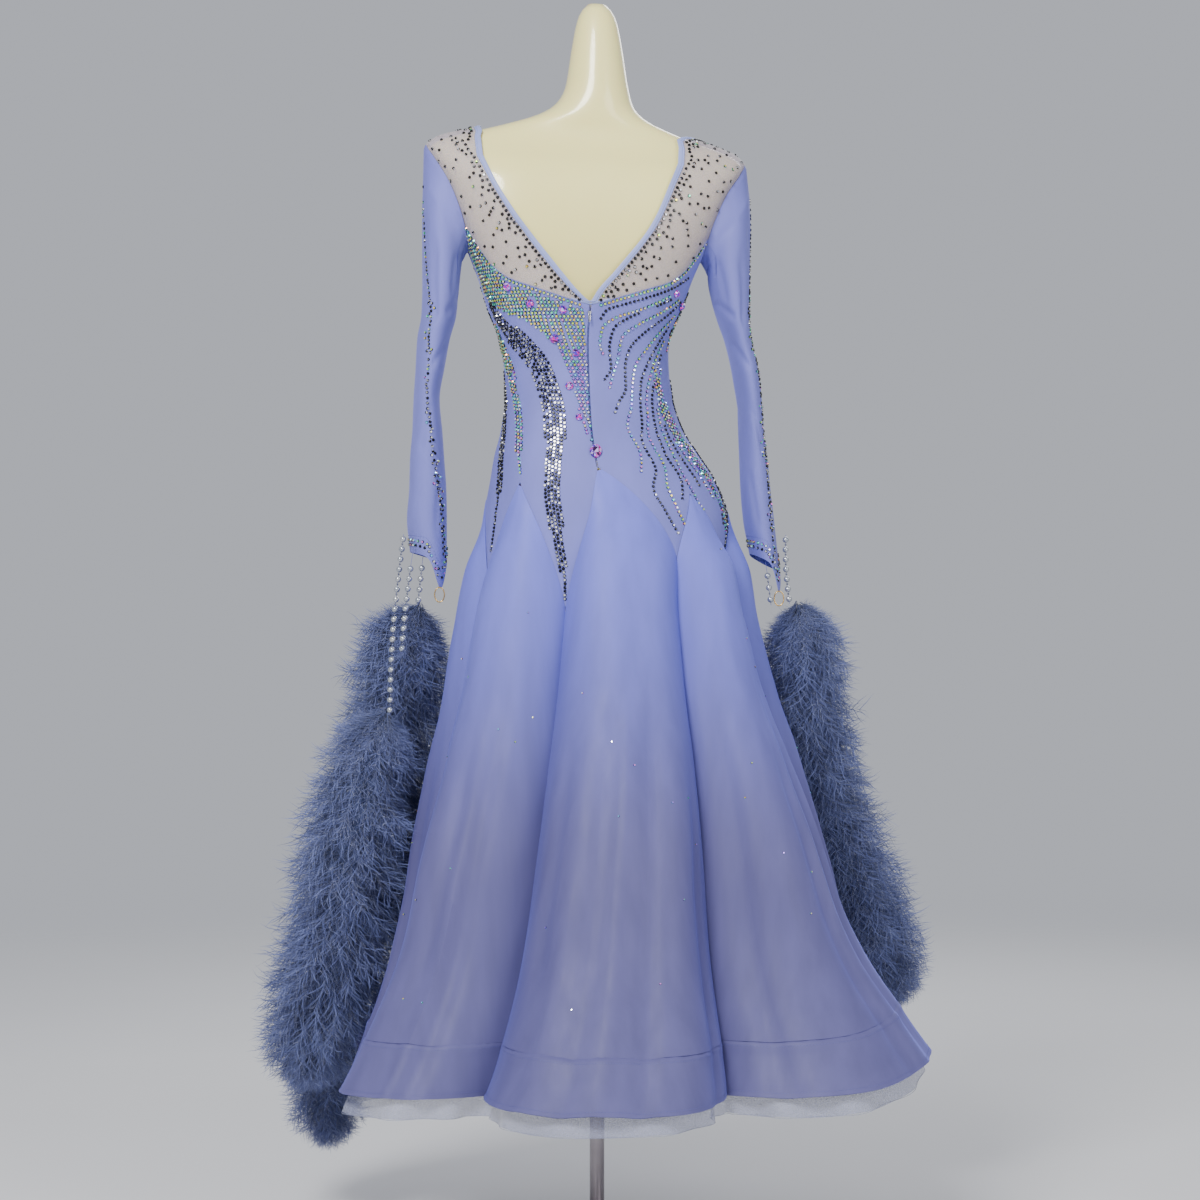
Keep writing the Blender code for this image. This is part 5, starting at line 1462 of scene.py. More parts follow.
def boa_line(table, share):
    """Middle of a boa and its radius at a share of the way down it."""
    rows = [(number, *row) for number, row in enumerate(table)]
    place = share * (len(rows) - 1)
    return Vector([from_table(rows, place, column) for column in (1, 2, 3)]), from_table(rows, place, 4)


def boa_ways(table, share, step):
    """A boa's direction at a share of the way down it, and the two ways square to it."""
    after, _ = boa_line(table, min(share + step, 1.0))
    before, _ = boa_line(table, max(share - step, 0.0))
    along = (after - before).normalized()
    side_way = along.cross(Vector((0, 1, 0))).normalized()
    return along, side_way, along.cross(side_way)


def make_boa(name, table, seed):
    """A core of short down and, all over it, plumes that lean downwards and outwards."""
    chance = random.Random(seed)
    length = sum((Vector(a[:3]) - Vector(b[:3])).length for a, b in zip(table, table[1:]))
    count = int(length * PLUMES_PER_METRE)
    groups = [[] for _ in range(PLUME_MODELS)]
    for number in range(count):
        share = (number + chance.random()) / count
        middle, radius = boa_line(table, share)
        along, side_way, front_way = boa_ways(table, share, 0.01)
        turn = number * GOLDEN_ANGLE + chance.uniform(-0.4, 0.4)
        out = side_way * math.cos(turn) + front_way * math.sin(turn)
        clump = noise.noise(Vector((math.cos(turn) * 1.2, math.sin(turn) * 1.2, share * length * 26 + seed * 7)))
        lean = math.radians(mix(*PLUME_LEANS, share ** 6) + CLUMP_LEAN * clump + chance.uniform(-12, 12))
        direction = (along * math.cos(lean) + out * math.sin(lean)).normalized()
        reach = radius * (PLUME_REACH + CLUMP_REACH * clump) * chance.uniform(0.85, 1.12) / max(math.sin(lean), 0.62)
        reach = min(reach, radius * MOST_REACH)
        start = middle - along * reach * math.cos(lean) * 0.45 + out * radius * 0.10
        reach = min(reach, room(start, direction))
        facing = turned_frame(start, direction, chance_direction(chance))
        groups[number % PLUME_MODELS].append(facing @ Matrix.Scale(reach, 4))
    for number, matrices in enumerate(groups):
        model, tones = make_plume(seed * 10 + number)
        plumes = scatter(f"{name}_plumes_{number}", model, matrices, tone=np.array(tones))
        declare(plumes, "down", "marabou", name)
    # The core takes the boa's dark root colour: painted shade in the middle of the plumes.
    core, _ = cloth_grid(
        name + "_core", CORE_COLUMNS, CORE_ROWS, functools.partial(core_point, table), closed=True, facing=-1,
        ripple=4 * MM,
    )
    round_off(core, 80)
    declare(core, "core", "marabou", name)


def core_point(table, around, down):
    middle, radius = boa_line(table, mix(0.02, 0.98, down))
    _, side_way, front_way = boa_ways(table, down, 0.02)
    turn = 2 * math.pi * around
    size = radius * CORE_SHARE * math.sin(math.pi * mix(0.06, 0.94, down)) ** 0.3
    return middle + (side_way * math.cos(turn) + front_way * math.sin(turn)) * size


BOAS = {
    "boa_left_short": [
        (0.232, -0.060, 0.829, 0.028), (0.242, -0.072, 0.800, 0.050), (0.253, -0.104, 0.740, 0.056),
        (0.261, -0.142, 0.670, 0.059), (0.269, -0.174, 0.590, 0.059), (0.283, -0.200, 0.500, 0.058),
        (0.302, -0.222, 0.420, 0.057), (0.325, -0.246, 0.340, 0.055), (0.346, -0.270, 0.250, 0.053),
        (0.350, -0.282, 0.160, 0.046), (0.346, -0.286, 0.107, 0.026),
    ],
    "boa_left_long": [
        (0.276, -0.006, 0.692, 0.026), (0.286, -0.012, 0.665, 0.046), (0.304, -0.022, 0.600, 0.057),
        (0.316, -0.034, 0.540, 0.061), (0.324, -0.050, 0.480, 0.062), (0.335, -0.068, 0.420, 0.062),
        (0.347, -0.088, 0.360, 0.061), (0.362, -0.106, 0.300, 0.058), (0.374, -0.118, 0.250, 0.048),
        (0.378, -0.122, 0.214, 0.026),
    ],
    "boa_right": [
        (-0.270, -0.030, 0.832, 0.026), (-0.276, -0.040, 0.805, 0.044), (-0.285, -0.078, 0.750, 0.052),
        (-0.295, -0.122, 0.680, 0.054), (-0.312, -0.160, 0.610, 0.055), (-0.340, -0.188, 0.540, 0.056),
        (-0.370, -0.206, 0.470, 0.056), (-0.398, -0.226, 0.410, 0.054), (-0.422, -0.250, 0.350, 0.048),
        (-0.429, -0.258, 0.315, 0.036), (-0.431, -0.260, 0.290, 0.020),
    ],
}

# ---------------------------------------------------------------- pearls

# Strands of pearls: top, bottom, sideways sag between them, and where the thread leaves the cuff above
PEARLS = [
    ("pearls_left_long", (0.2510, 0.004, 0.930), (0.2690, 0.024, 0.697), 0.004, None),
    ("pearls_left_middle", (0.2420, 0.022, 0.8915), (0.2540, 0.022, 0.776), 0.001, (0.2380, 0.014, 0.915)),
    ("pearls_left_short", (0.2270, 0.006, 0.8930), (0.2330, 0.008, 0.838), 0.0, (0.2250, 0.004, 0.913)),
    ("pearls_right_outer", (-0.2470, 0.004, 0.930), (-0.2520, 0.004, 0.840), 0.002, None),
    ("pearls_right_inner", (-0.2200, 0.018, 0.8840), (-0.2260, 0.016, 0.838), 0.0, (-0.2180, 0.008, 0.905)),
]
PEARL_PITCH = 12.7 * MM
PEARL_RADIUS = 4.1 * MM
SPACER_RADIUS = 1.5 * MM
THREAD_RADIUS = 0.35 * MM


def make_pearls(name, start, end, sag, cuff):
    start, end = Vector(start), Vector(end)
    beads = int((end - start).length / PEARL_PITCH)

    def place(share):
        return start.lerp(end, share) + Vector((sag, 0, 0)) * math.sin(math.pi * share)

    pearl = add_primitive(
        "pearl", bpy.ops.mesh.primitive_uv_sphere_add, segments=18, ring_count=12, radius=PEARL_RADIUS,
    )
    centres = [Matrix.Translation(place((bead + 0.5) / beads)) for bead in range(beads)]
    pearls = scatter(name + "_beads", pearl, centres)
    round_off(pearls, 180)
    declare(pearls, "pearl", "pearl", name)
    spacer = add_primitive("spacer", bpy.ops.mesh.primitive_ico_sphere_add, subdivisions=1, radius=SPACER_RADIUS)
    gaps = [Matrix.Translation(place(bead / beads)) for bead in range(1, beads)]
    spacers = scatter(name + "_spacers", spacer, gaps)
    declare(spacers, "spacer", "pearl")
    thread = add_primitive(
        "thread", bpy.ops.mesh.primitive_cylinder_add, vertices=6, radius=THREAD_RADIUS,
        depth=(end - start).length / beads,
    )
    runs = []
    for bead in range(beads):
        middle = place((bead + 0.5) / beads)
        along = place((bead + 1) / beads) - place(bead / beads)
        runs.append(turned_frame(middle, along, Vector((1, 0, 0))))
    if cuff is not None:
        up = Vector(cuff) - start
        stretch = Matrix.Diagonal((1, 1, up.length * beads / (end - start).length, 1))
        runs.append(turned_frame(start + up / 2, up, Vector((1, 0, 0))) @ stretch)
    declare(scatter(name + "_thread", thread, runs), "thread", "pearl")


# ---------------------------------------------------------------- stones

STONE_PITCH = 5.3 * MM
STONE_SIZE = 4.8 * MM
LEAST_APART = 4.5 * MM
# A small stone's table radius and height as shares of its diameter
STONE_TABLE = 0.30
STONE_HEIGHT = 0.36
# Large stones on the bodice: angle, height, diameter
STONES = [
    (48, 1.243, 12 * MM), (33, 1.222, 11 * MM), (13, 1.214, 11 * MM), (21, 1.178, 12 * MM), (8, 1.160, 10 * MM),
    (14, 1.118, 11 * MM), (9, 1.078, 10 * MM), (-72, 1.226, 11 * MM), (-56, 1.240, 10 * MM),
]
CENTRE_STONE = (3.0, 1.034, 16 * MM)
CENTRE_STONE_STRETCH = 1.15
STONE_LIFT = 0.5 * MM
# Colours of the facets; the first four, the brightest, are also those of a stone's table, where they are partly its
# colour and partly a painted glint
AURORA_WARM = [
    (1.00, 0.96, 0.48), (0.66, 0.95, 0.14), (0.98, 0.74, 0.10), (0.18, 0.85, 0.52), (0.04, 0.42, 0.18),
    (0.95, 0.34, 0.10), (0.08, 0.52, 0.62), (0.02, 0.04, 0.05), (0.03, 0.08, 0.09), (0.03, 0.05, 0.04),
]
AURORA_COOL = [
    (0.96, 0.94, 1.00), (0.48, 0.26, 1.00), (0.92, 0.30, 0.85), (0.22, 0.70, 1.00), (0.05, 0.09, 0.80),
    (0.28, 0.05, 0.85), (0.80, 0.06, 0.50), (0.02, 0.02, 0.10), (0.06, 0.55, 0.45), (0.03, 0.02, 0.12),
]
# Colours of a large stone's facets
VIOLETS = [
    (0.72, 0.01, 0.42), (0.16, 0.02, 0.75), (0.85, 0.08, 0.42), (0.06, 0.05, 0.60), (0.75, 0.55, 1.00),
    (0.04, 0.01, 0.07),
]


class StoneSetter:
    """Keeps the places of the stones, no two of them too close together, grouped by piece."""

    def __init__(self):
        self.cells = {}
        self.groups = {}
        self.chance = random.Random(7)

    def cell(self, point):
        return tuple(int(math.floor(value / (3 * LEAST_APART))) for value in point)

    def is_free(self, point, size):
        home = self.cell(point)
        for x in (-1, 0, 1):
            for y in (-1, 0, 1):
                for z in (-1, 0, 1):
                    for other, other_size in self.cells.get((home[0] + x, home[1] + y, home[2] + z), ()):
                        if (other - point).length < (size + other_size) / 2:
                            return False
        return True

    def take(self, point, size):
        self.cells.setdefault(self.cell(point), []).append((point, size))

    def put(self, group, kind, cloth, point, normal, size=STONE_SIZE):
        """Sets a stone on the cloth, near a point, if nothing is there yet."""
        if not self.is_free(point, size * 0.9):
            return
        found, seat, seat_normal, _ = cloth.closest_point_on_mesh(point + normal * 3 * MM)
        if not found or (seat - point).length > 9 * MM or not self.is_free(seat, size * 0.97):
            return
        self.take(seat, size * 0.97)
        matrix = turned_frame(seat, seat_normal, chance_direction(self.chance)) @ Matrix.Scale(size, 4)
        self.groups.setdefault((group, kind), []).append(matrix)

    def build(self):
        for (group, kind), matrices in self.groups.items():
            stone = add_primitive(
                "stone", bpy.ops.mesh.primitive_cone_add, vertices=8, radius1=0.5, radius2=STONE_TABLE,
                depth=STONE_HEIGHT, location=(0, 0, STONE_HEIGHT / 2),
            )
            drop_base(stone)
            tint = {"dark": self.dark_tint_with_glints, "glint": self.painted_glint_tint, "aurora": self.aurora_tint_with_glints}[kind]
            stones = scatter(f"stones_{group}_{kind}", stone, matrices, tint)
            declare(stones, "aurora" if kind == "aurora" else "dark", "stone_glass")

    def dark_tint_with_glints(self, matrix, is_table):
        """Near black for most facets of a dark stone, and for a few silver that is a painted glint."""
        bright = self.chance.random() < (0.10 if is_table else 0.12)
        low, high = (0.4, 0.9) if bright else (0.02, 0.06)
        return shaded((1.0, 1.0, 1.04), self.chance.uniform(low, high), 2.0)

    def painted_glint_tint(self, matrix, is_table):
        """For the dark stones of the close-set bands: mostly a silver table within black facets, the silver a painted
        glint.
        """
        bright = self.chance.random() < (0.52 if is_table else 0.16)
        low, high = (0.35, 0.9) if bright else (0.01, 0.04)
        return shaded((1.0, 1.0, 0.96), self.chance.uniform(low, high), 2.0)

    def aurora_tint_with_glints(self, matrix, is_table):
        """A colour for one facet, from warm to cool by its place: gold and green high up, violet low down."""
        place = matrix.translation
        warmth = smooth_step(1.09, 1.23, place.z) + 0.30 * noise.noise(place * 26)
        warmth += 0.45 * smooth_step(0.055, 0.085, abs(place.x - 0.012))
        tints = AURORA_WARM if self.chance.random() < warmth else AURORA_COOL
        # A table gets a bright colour, partly the stone's own and partly a painted glint; the sides get darker ones,
        # their coating's colours partly darkened as painted shade.
        if is_table:
            return shaded(self.chance.choice(tints[:4]), self.chance.uniform(0.75, 1.15))
        return shaded(self.chance.choice(tints[3:]), self.chance.uniform(0.15, 0.8))


def drop_base(stone):
    """Removes the face that lies on the cloth."""
    for polygon in stone.data.polygons:
        polygon.select = polygon.normal.z < -0.9
    with editing(stone):
        bpy.ops.mesh.select_mode(type="FACE")
        bpy.ops.mesh.delete(type="ONLY_FACE")


def walk(places, pitch):
    """Places at an even pitch along a smooth curve through places given as angle, height and what goes with them."""
    rows = [(number, *place) for number, place in enumerate(places)]
    steps = 120 * (len(rows) - 1)
    walked, due, before = 0.0, 0.0, None
    for step in range(steps + 1):
        share = step / steps
        row = [from_table(rows, share * (len(rows) - 1), column) for column in range(1, len(rows[0]))]
        here = torso_point(row[0], row[1])
        if before is not None:
            walked += (here - before).length
        before = here
        if walked >= due:
            yield row
            due += pitch


def beside(row, after, distance):
    """The angle and height this far to the side of the way from one place to the next."""
    per_degree = (torso_point(row[0] + 0.5, row[1]) - torso_point(row[0] - 0.5, row[1])).length
    across, up = (after[0] - row[0]) * per_degree, after[1] - row[1]
    size = max(math.hypot(across, up), 1e-9)
    return row[0] - up / size * distance / per_degree, row[1] + across / size * distance


ROW_GAP = STONE_SIZE * 0.91
SETTING_STEP = 0.35 * MM


def set_band(setter, kinds, cloth, places):
    """Close rows of stones side by side along a curve: places are angle, height and half width in millimetres."""
    rows = int(max(place[2] for place in places) * MM / ROW_GAP)
    found = list(walk(places, SETTING_STEP))
    for line in sorted(range(-rows, rows + 1), key=abs):
        kind = kinds[line % len(kinds)]
        for row, after in zip(found, found[1:]):
            if abs(line * ROW_GAP) > row[2] * MM + 0.1 * MM:
                continue
            degrees, height = beside(row, after, line * ROW_GAP)
            setter.put("bodice", kind, cloth, torso_point(degrees, height), torso_normal(degrees, height))


# Close bands on the left and the right of the back and on each side of the front: the kinds of stone in turn, then
# angle, height and half width in millimetres
LEFT_BANDS = [
    (("glint",), [
        (79, 1.224, 7), (66, 1.195, 12), (48, 1.170, 14), (36, 1.144, 14), (29, 1.110, 13), (25.5, 1.079, 13.5),
        (25, 1.046, 13), (27, 1.012, 13), (28, 0.978, 11), (25, 0.925, 8), (20, 0.868, 3), (19.5, 0.842, 1),
    ]),
    (("aurora",), [
        (88, 1.200, 7), (80, 1.166, 9), (71, 1.142, 9), (63, 1.110, 8), (56, 1.078, 6), (52, 1.045, 5), (48, 1.006, 1),
    ]),
    (("glint",), [(88, 1.140, 3), (80, 1.085, 6), (70, 1.030, 6), (66, 0.975, 4), (69, 0.905, 1)]),
]
RIGHT_BANDS = [
    (("aurora",), [
        (-50, 1.140, 3), (-54, 1.095, 9), (-60, 1.050, 12), (-64, 1.005, 9), (-69, 0.960, 4), (-71, 0.930, 1),
    ]),
    (("aurora", "glint"), [(-84, 1.245, 5), (-78, 1.205, 5), (-72, 1.165, 3)]),
    (("glint",), [
        (-88, 1.130, 5), (-82, 1.070, 8), (-80, 1.010, 8), (-74, 0.945, 5), (-68, 0.905, 2), (-67, 0.895, 1),
    ]),
]
FRONT_BANDS = [
    (("dark",), [(92, 1.214, 1), (98, 1.185, 5), (110, 1.140, 8), (121, 1.088, 6), (131, 1.038, 4), (137, 0.998, 1)]),
    (("aurora",), [
        (104, 1.275, 2), (114, 1.264, 7), (128, 1.259, 11), (146, 1.256, 11), (160, 1.257, 8), (170, 1.262, 4),
        (176, 1.268, 1),
    ]),
    (("aurora",), [
        (174, 1.246, 1), (171, 1.218, 6), (168, 1.184, 9), (165, 1.150, 8), (163, 1.116, 5), (164, 1.082, 3),
        (169, 1.036, 1),
    ]),
    (("dark",), [
        (152, 1.236, 1), (148, 1.208, 6), (143, 1.170, 10), (142, 1.130, 10), (146, 1.090, 9), (151, 1.050, 9),
        (154, 1.010, 8), (157, 0.968, 5), (158, 0.920, 2), (158.5, 0.870, 1),
    ]),
]
# Single rows on each side of the front, as angle and height
FRONT_ROWS = [
    ("aurora", [
        (101, 1.250), (112, 1.232), (124, 1.206), (129, 1.172), (128, 1.138), (132, 1.104), (139, 1.074),
        (141, 1.044),
    ]),
    ("dark", [
        (99, 1.236), (110, 1.212), (119, 1.180), (121, 1.146), (124, 1.112), (131, 1.080), (137, 1.050), (139, 1.016),
    ]),
    ("aurora", [
        (97, 1.222), (106, 1.194), (113, 1.166), (116, 1.132), (119, 1.098), (126, 1.064), (133, 1.030), (136, 0.972),
    ]),
    ("dark", [
        (155, 1.222), (156, 1.188), (153, 1.154), (153, 1.120), (157, 1.088), (161, 1.054), (162, 1.020),
        (165, 0.988),
    ]),
    ("aurora", [(159, 1.206), (160, 1.172), (158, 1.138), (158, 1.104), (161, 1.072)]),
]

# The area of close-set stones: its lower edge as angle and height, going out from the zip
LEFT_AREA = [
    (2.2, 1.044), (5, 1.052), (9, 1.086), (12, 1.118), (15, 1.146), (21, 1.170), (30, 1.186), (40, 1.200), (56, 1.211),
    (76, 1.226), (84, 1.240),
]


def fill_area(setter, cloth, lower_edge):
    """Close-set stones in rows, from a lower edge up to the yoke's seam."""
    for number in range(70):
        height = 1.040 + number * ROW_GAP
        degrees = lower_edge[0][0] + 0.3
        while degrees < lower_edge[-1][0]:
            here, ahead = torso_point(degrees, height), torso_point(degrees + 0.5, height)
            if from_table(lower_edge, degrees) <= height <= bodice_top(degrees) - 2.4 * MM:
                setter.put("bodice", "aurora", cloth, here, torso_normal(degrees, height))
            degrees += 0.5 * SETTING_STEP / (ahead - here).length


# Rows on the right of the back: where each starts, turns, crosses the waist and ends, as angle and height
FAN_ROWS = [
    ("dark", [(-66, 1.262), (-46, 1.243), (-22, 1.226), (-7, 1.214), (-4.5, 1.203)]),
    ("aurora", [(-52, 1.238), (-30, 1.218), (-12, 1.204), (-6, 1.192), (-5, 1.172), (-7, 1.158)]),
    ("dark", [(-58, 1.236), (-40, 1.222), (-22, 1.206), (-13, 1.192), (-11, 1.168), (-12, 1.143), (-7, 1.126)]),
    ("aurora", [(-62, 1.232), (-46, 1.214), (-30, 1.198), (-19, 1.180), (-17, 1.154), (-13, 1.134), (-9, 1.112)]),
    ("dark", [
        (-67, 1.230), (-52, 1.208), (-37, 1.188), (-26, 1.168), (-22, 1.142), (-21, 1.116), (-15, 1.098),
        (-10, 1.080),
    ]),
    ("aurora", [
        (-66, 1.212), (-52, 1.188), (-40, 1.166), (-30, 1.144), (-26, 1.118), (-23, 1.092), (-17, 1.064),
        (-19, 1.036), (-15, 1.008),
    ]),
    ("dark", [
        (-64, 1.196), (-52, 1.172), (-42, 1.148), (-34, 1.124), (-31, 1.098), (-28, 1.070), (-23, 1.044),
        (-24, 1.016), (-19, 0.986), (-24, 0.956), (-31, 0.926),
    ]),
    ("aurora", [
        (-61, 1.178), (-51, 1.154), (-43, 1.130), (-37, 1.104), (-34, 1.078), (-29, 1.050), (-30, 1.020),
        (-27, 0.990), (-30, 0.962), (-35, 0.936),
    ]),
    ("dark", [
        (-59, 1.160), (-51, 1.136), (-44, 1.112), (-40, 1.084), (-37, 1.056), (-35, 1.028), (-37, 1.000),
        (-34, 0.972),
    ]),
    ("aurora", [
        (-58, 1.142), (-51, 1.118), (-46, 1.092), (-43, 1.064), (-41, 1.036), (-40, 1.008), (-43, 0.980),
        (-46, 0.956),
    ]),
    ("dark", [(-57, 1.122), (-51, 1.098), (-48, 1.072), (-46, 1.044), (-47, 1.016), (-50, 0.992)]),
    ("aurora", [(-56, 1.104), (-53, 1.078), (-51, 1.050), (-52, 1.022), (-56, 0.998), (-60, 0.976)]),
    ("dark", [(-58, 1.046), (-57, 1.022), (-61, 0.996), (-65, 0.968), (-67, 0.940)]),
]


def set_row(setter, kind, cloth, places, pitch=STONE_PITCH * 1.06, size=STONE_SIZE * 0.95):
    """A single row of stones along a curve of angles and heights."""
    for row in walk(places, pitch):
        setter.put("bodice", kind, cloth, torso_point(*row), torso_normal(*row), size)


def on_side(side, places):
    """Places on the front's left half, or their mirror images on its right half if side is below zero."""
    return [(360 - degrees if side < 0 else degrees, *rest) for degrees, *rest in places]


def set_bodice_stones(setter, back_left, back_right, front):
    """Dense bands on the left of the back, fanned wavy rows on its right, and fewer rows in front."""
    fill_area(setter, back_left, LEFT_AREA)
    for cloth, bands in ((back_left, LEFT_BANDS), (back_right, RIGHT_BANDS)):
        for kinds, places in bands:
            set_band(setter, kinds, cloth, places)
    for kind, places in FAN_ROWS:
        set_row(setter, kind, back_right, places)
    for side in (-1, 1):
        for kinds, places in FRONT_BANDS:
            set_band(setter, kinds, front, on_side(side, places))
        for kind, places in FRONT_ROWS:
            set_row(setter, kind, front, on_side(side, places))


def set_seam_stones(setter, cloth, table, side, low, high):
    """A row just under the yoke's seam."""
    places = [(side * degrees, from_table(table, abs(degrees)) - 3.4 * MM) for degrees in range(low, high, 6)]
    set_row(setter, "aurora", cloth, places, STONE_PITCH, STONE_SIZE)


# Rows of stones along the neckline: distance from its edge and pitch, in millimetres
YOKE_ROWS = [
    (11.4, 6.0), (17.0, 6.8), (23.5, 9.5), (31.0, 13.0), (42.0, 17.0), (55.0, 19.0), (69.0, 20.0), (84.0, 21.0),
    (99.0, 22.0), (115.0, 23.0), (132.0, 24.0),
]


def set_yoke_stones(setter, name, yoke, side):
    """Rows of dark stones along the neckline, ever looser away from it, with a few bright ones."""
    chance = setter.chance
    for number, (distance, pitch) in enumerate(YOKE_ROWS):
        loose = min(number / 4, 1.0)
        walked, due, before = 0.0, pitch * MM * (0.3 + 0.4 * (number % 2)), None
        for inner, outer in finer(yoke_line(side), 8):
            share = share_at(inner, outer, distance * MM)
            if share >= 0.97:
                before = None
                continue
            here = torso_between(inner, outer, share)
            if before is not None:
                walked += (here - before).length
            before = here
            if walked < due:
                continue
            wander = chance.uniform(-0.32, 0.32) * pitch * MM * loose
            due = walked + pitch * MM * chance.uniform(1 - 0.3 * loose, 1 + 0.3 * loose)
            if chance.random() < 0.06 * min(number, 3):
                continue
            spot = torso_between(inner, outer, min(share + wander / max(distance * MM, 0.02), 0.97))
            kind = "dark" if chance.random() < 0.93 else "aurora"
            size = STONE_SIZE * (0.96 if number > 2 else 1.0)
            setter.put(name, kind, yoke, spot, (spot - here) + here_normal(spot), size)


def here_normal(point):
    """Roughly outwards from the middle of the torso."""
    return Vector((point.x * 0.4, point.y, 0.35 * abs(point.x))).normalized()


# The stone stripe down each sleeve: down, around, and half of its width in millimetres
LEFT_STRIPE = [(0.00, 0.33, 2), (0.30, 0.28, 3), (0.45, 0.235, 7), (0.60, 0.18, 8), (0.80, 0.09, 8), (1.00, 0.00, 7)]
RIGHT_STRIPE = [(0.00, 0.33, 2), (0.30, 0.31, 4), (0.45, 0.30, 7), (0.60, 0.29, 8), (1.00, 0.27, 8)]
STRIPE_GAP = 4.5 * MM


def set_sleeve_stones(setter, name, cloth, shape, stripe):
    """Close rows of dark stones down the sleeve, a few bright ones beside them, and a row round the cuff."""

    def put_at(around, down, kind):
        setter.put(name, kind, cloth, *shape.point_and_normal(around, down), STONE_SIZE * 0.92)

    length = sum((shape.point(0.3, (n + 1) / 20) - shape.point(0.3, n / 20)).length for n in range(1, 20))
    steps = int(length / (0.9 * MM))
    for line in (0, -1, 1, -2, 2, -3, 3):
        for step in range(steps):
            down = mix(0.09, 0.965, step / (steps - 1))
            around, half = from_table(stripe, down), from_table(stripe, down, 2) * MM
            reach = line * STRIPE_GAP * 0.90
            beside_line = around + reach / shape.ring_length(down, 12)
            if abs(reach) > half + 3.5 * MM:
                continue
            if abs(reach) > half:
                if setter.chance.random() < 0.035:
                    put_at(beside_line, down, "aurora")
            elif setter.chance.random() < 0.30:
                put_at(beside_line, down, "glint" if setter.chance.random() < 0.85 else "aurora")
    for down, kinds in ((0.983, ("glint", "aurora")), (0.972, ("aurora", "glint"))):
        count = int(shape.ring_length(down, 24) / (STONE_SIZE * 1.02))
        for number in range(count):
            put_at((number + (0.5 if kinds[0] == "aurora" else 0.0)) / count, down, kinds[number % 2])


SKIRT_STONES_EACH = 11


def set_skirt_stones(setter, godets):
    """A few small stones strewn over each godet, more of them towards the hem."""
    for index, cloth in enumerate(godets):
        for number in range(SKIRT_STONES_EACH):
            down = 0.16 + 0.82 * setter.chance.random() ** 0.7
            across = mix(0.10, 0.90, (number * 0.618 + 0.17 * index) % 1.0)
            point = godet_point(index, across, down)
            normal = outward(mix(seam_angle_below(index - 1, point.z), seam_angle_below(index, point.z), across))
            setter.put("skirt", "aurora", cloth, point, normal, 3.0 * MM)


def facet_order(facets, size):
    """The facets' numbers, the sloping ones put in order upwards and across: they are numbered afresh in each run."""
    sloping = [facet for facet in facets if abs(facet.normal.z) < 0.9]
    by_place = sorted(
        sloping, key=lambda facet: (round(facet.center.z / size, 2), facet.center.x + 0.37 * facet.center.y),
    )
    order = list(range(len(facets)))
    for slot, facet in zip(sloping, by_place):
        order[slot.index] = facet.index
    return order


def make_large_stone(node, degrees, height, size, stretch=1.0, sides=12):
    """A cut stone with a table, two rows of facets and its own flat back."""
    seat = STONE_LIFT + 0.7 * MM
    stone = add_primitive(
        node + "_cut", bpy.ops.mesh.primitive_cone_add, vertices=sides, radius1=size / 2, radius2=size * 0.44,
        depth=size * 0.14, location=(0, 0, size * 0.07),
    )
    for polygon in stone.data.polygons:
        polygon.select = polygon.normal.z > 0.9
    with editing(stone):
        bpy.ops.mesh.select_mode(type="FACE")
        bpy.ops.mesh.extrude_region_move(TRANSFORM_OT_translate={"value": (0, 0, size * 0.15)})
        bpy.ops.transform.resize(value=(0.60, 0.60, 1), center_override=(0, 0, 0))
        bpy.ops.mesh.select_all(action="SELECT")
        bpy.ops.mesh.quads_convert_to_tris()
    order = facet_order(stone.data.polygons, size)
    for vertex in stone.data.vertices:
        vertex.co.y *= stretch
    normal = torso_normal(degrees, height)
    place = turned_frame(torso_point(degrees, height) + normal * seat, normal, Vector((1, 0, 0)))
    stone.data.transform(place)
    chance = random.Random(node)
    tint = stone.data.color_attributes.new("tint", "FLOAT_COLOR", "CORNER")
    for index in order:
        colour = (*chance.choice(VIOLETS), 1.0)
        for loop in stone.data.polygons[index].loop_indices:
            tint.data[loop].color = colour
    declare(stone, "aurora", "stone_glass", node)


# ---------------------------------------------------------------- stitching

STITCH = (2.4 * MM, 0.35 * MM, 0.35 * MM)
STITCH_PITCH = 3.4 * MM
HEM_STEPS = 3200
CUFF_STEPS = 240
# How far down a sleeve its stitches lie
CUFF_STITCHES = 0.962


def make_stitches(name, routes):
    """Rows of stitches: each route is a list of points on the cloth, with outward normals."""
    matrices = []
    for route in routes:
        walked, due = 0.0, 0.0
        for (before, _), (after, normal) in zip(route, route[1:]):
            walked += (after - before).length
            if walked >= due:
                matrices.append(turned_frame(after + normal * 0.15 * MM, normal, after - before))
                due = walked + STITCH_PITCH
    stitch = add_primitive("stitch", bpy.ops.mesh.primitive_cube_add, size=1)
    stitch.scale = STITCH
    in_place(stitch)
    declare(scatter(name, stitch, matrices), "thread", "band_cloth")


def on_cloth(cloth, point, out):
    _, seat, normal, _ = cloth.closest_point_on_mesh(point + out * 4 * MM)
    return seat, normal


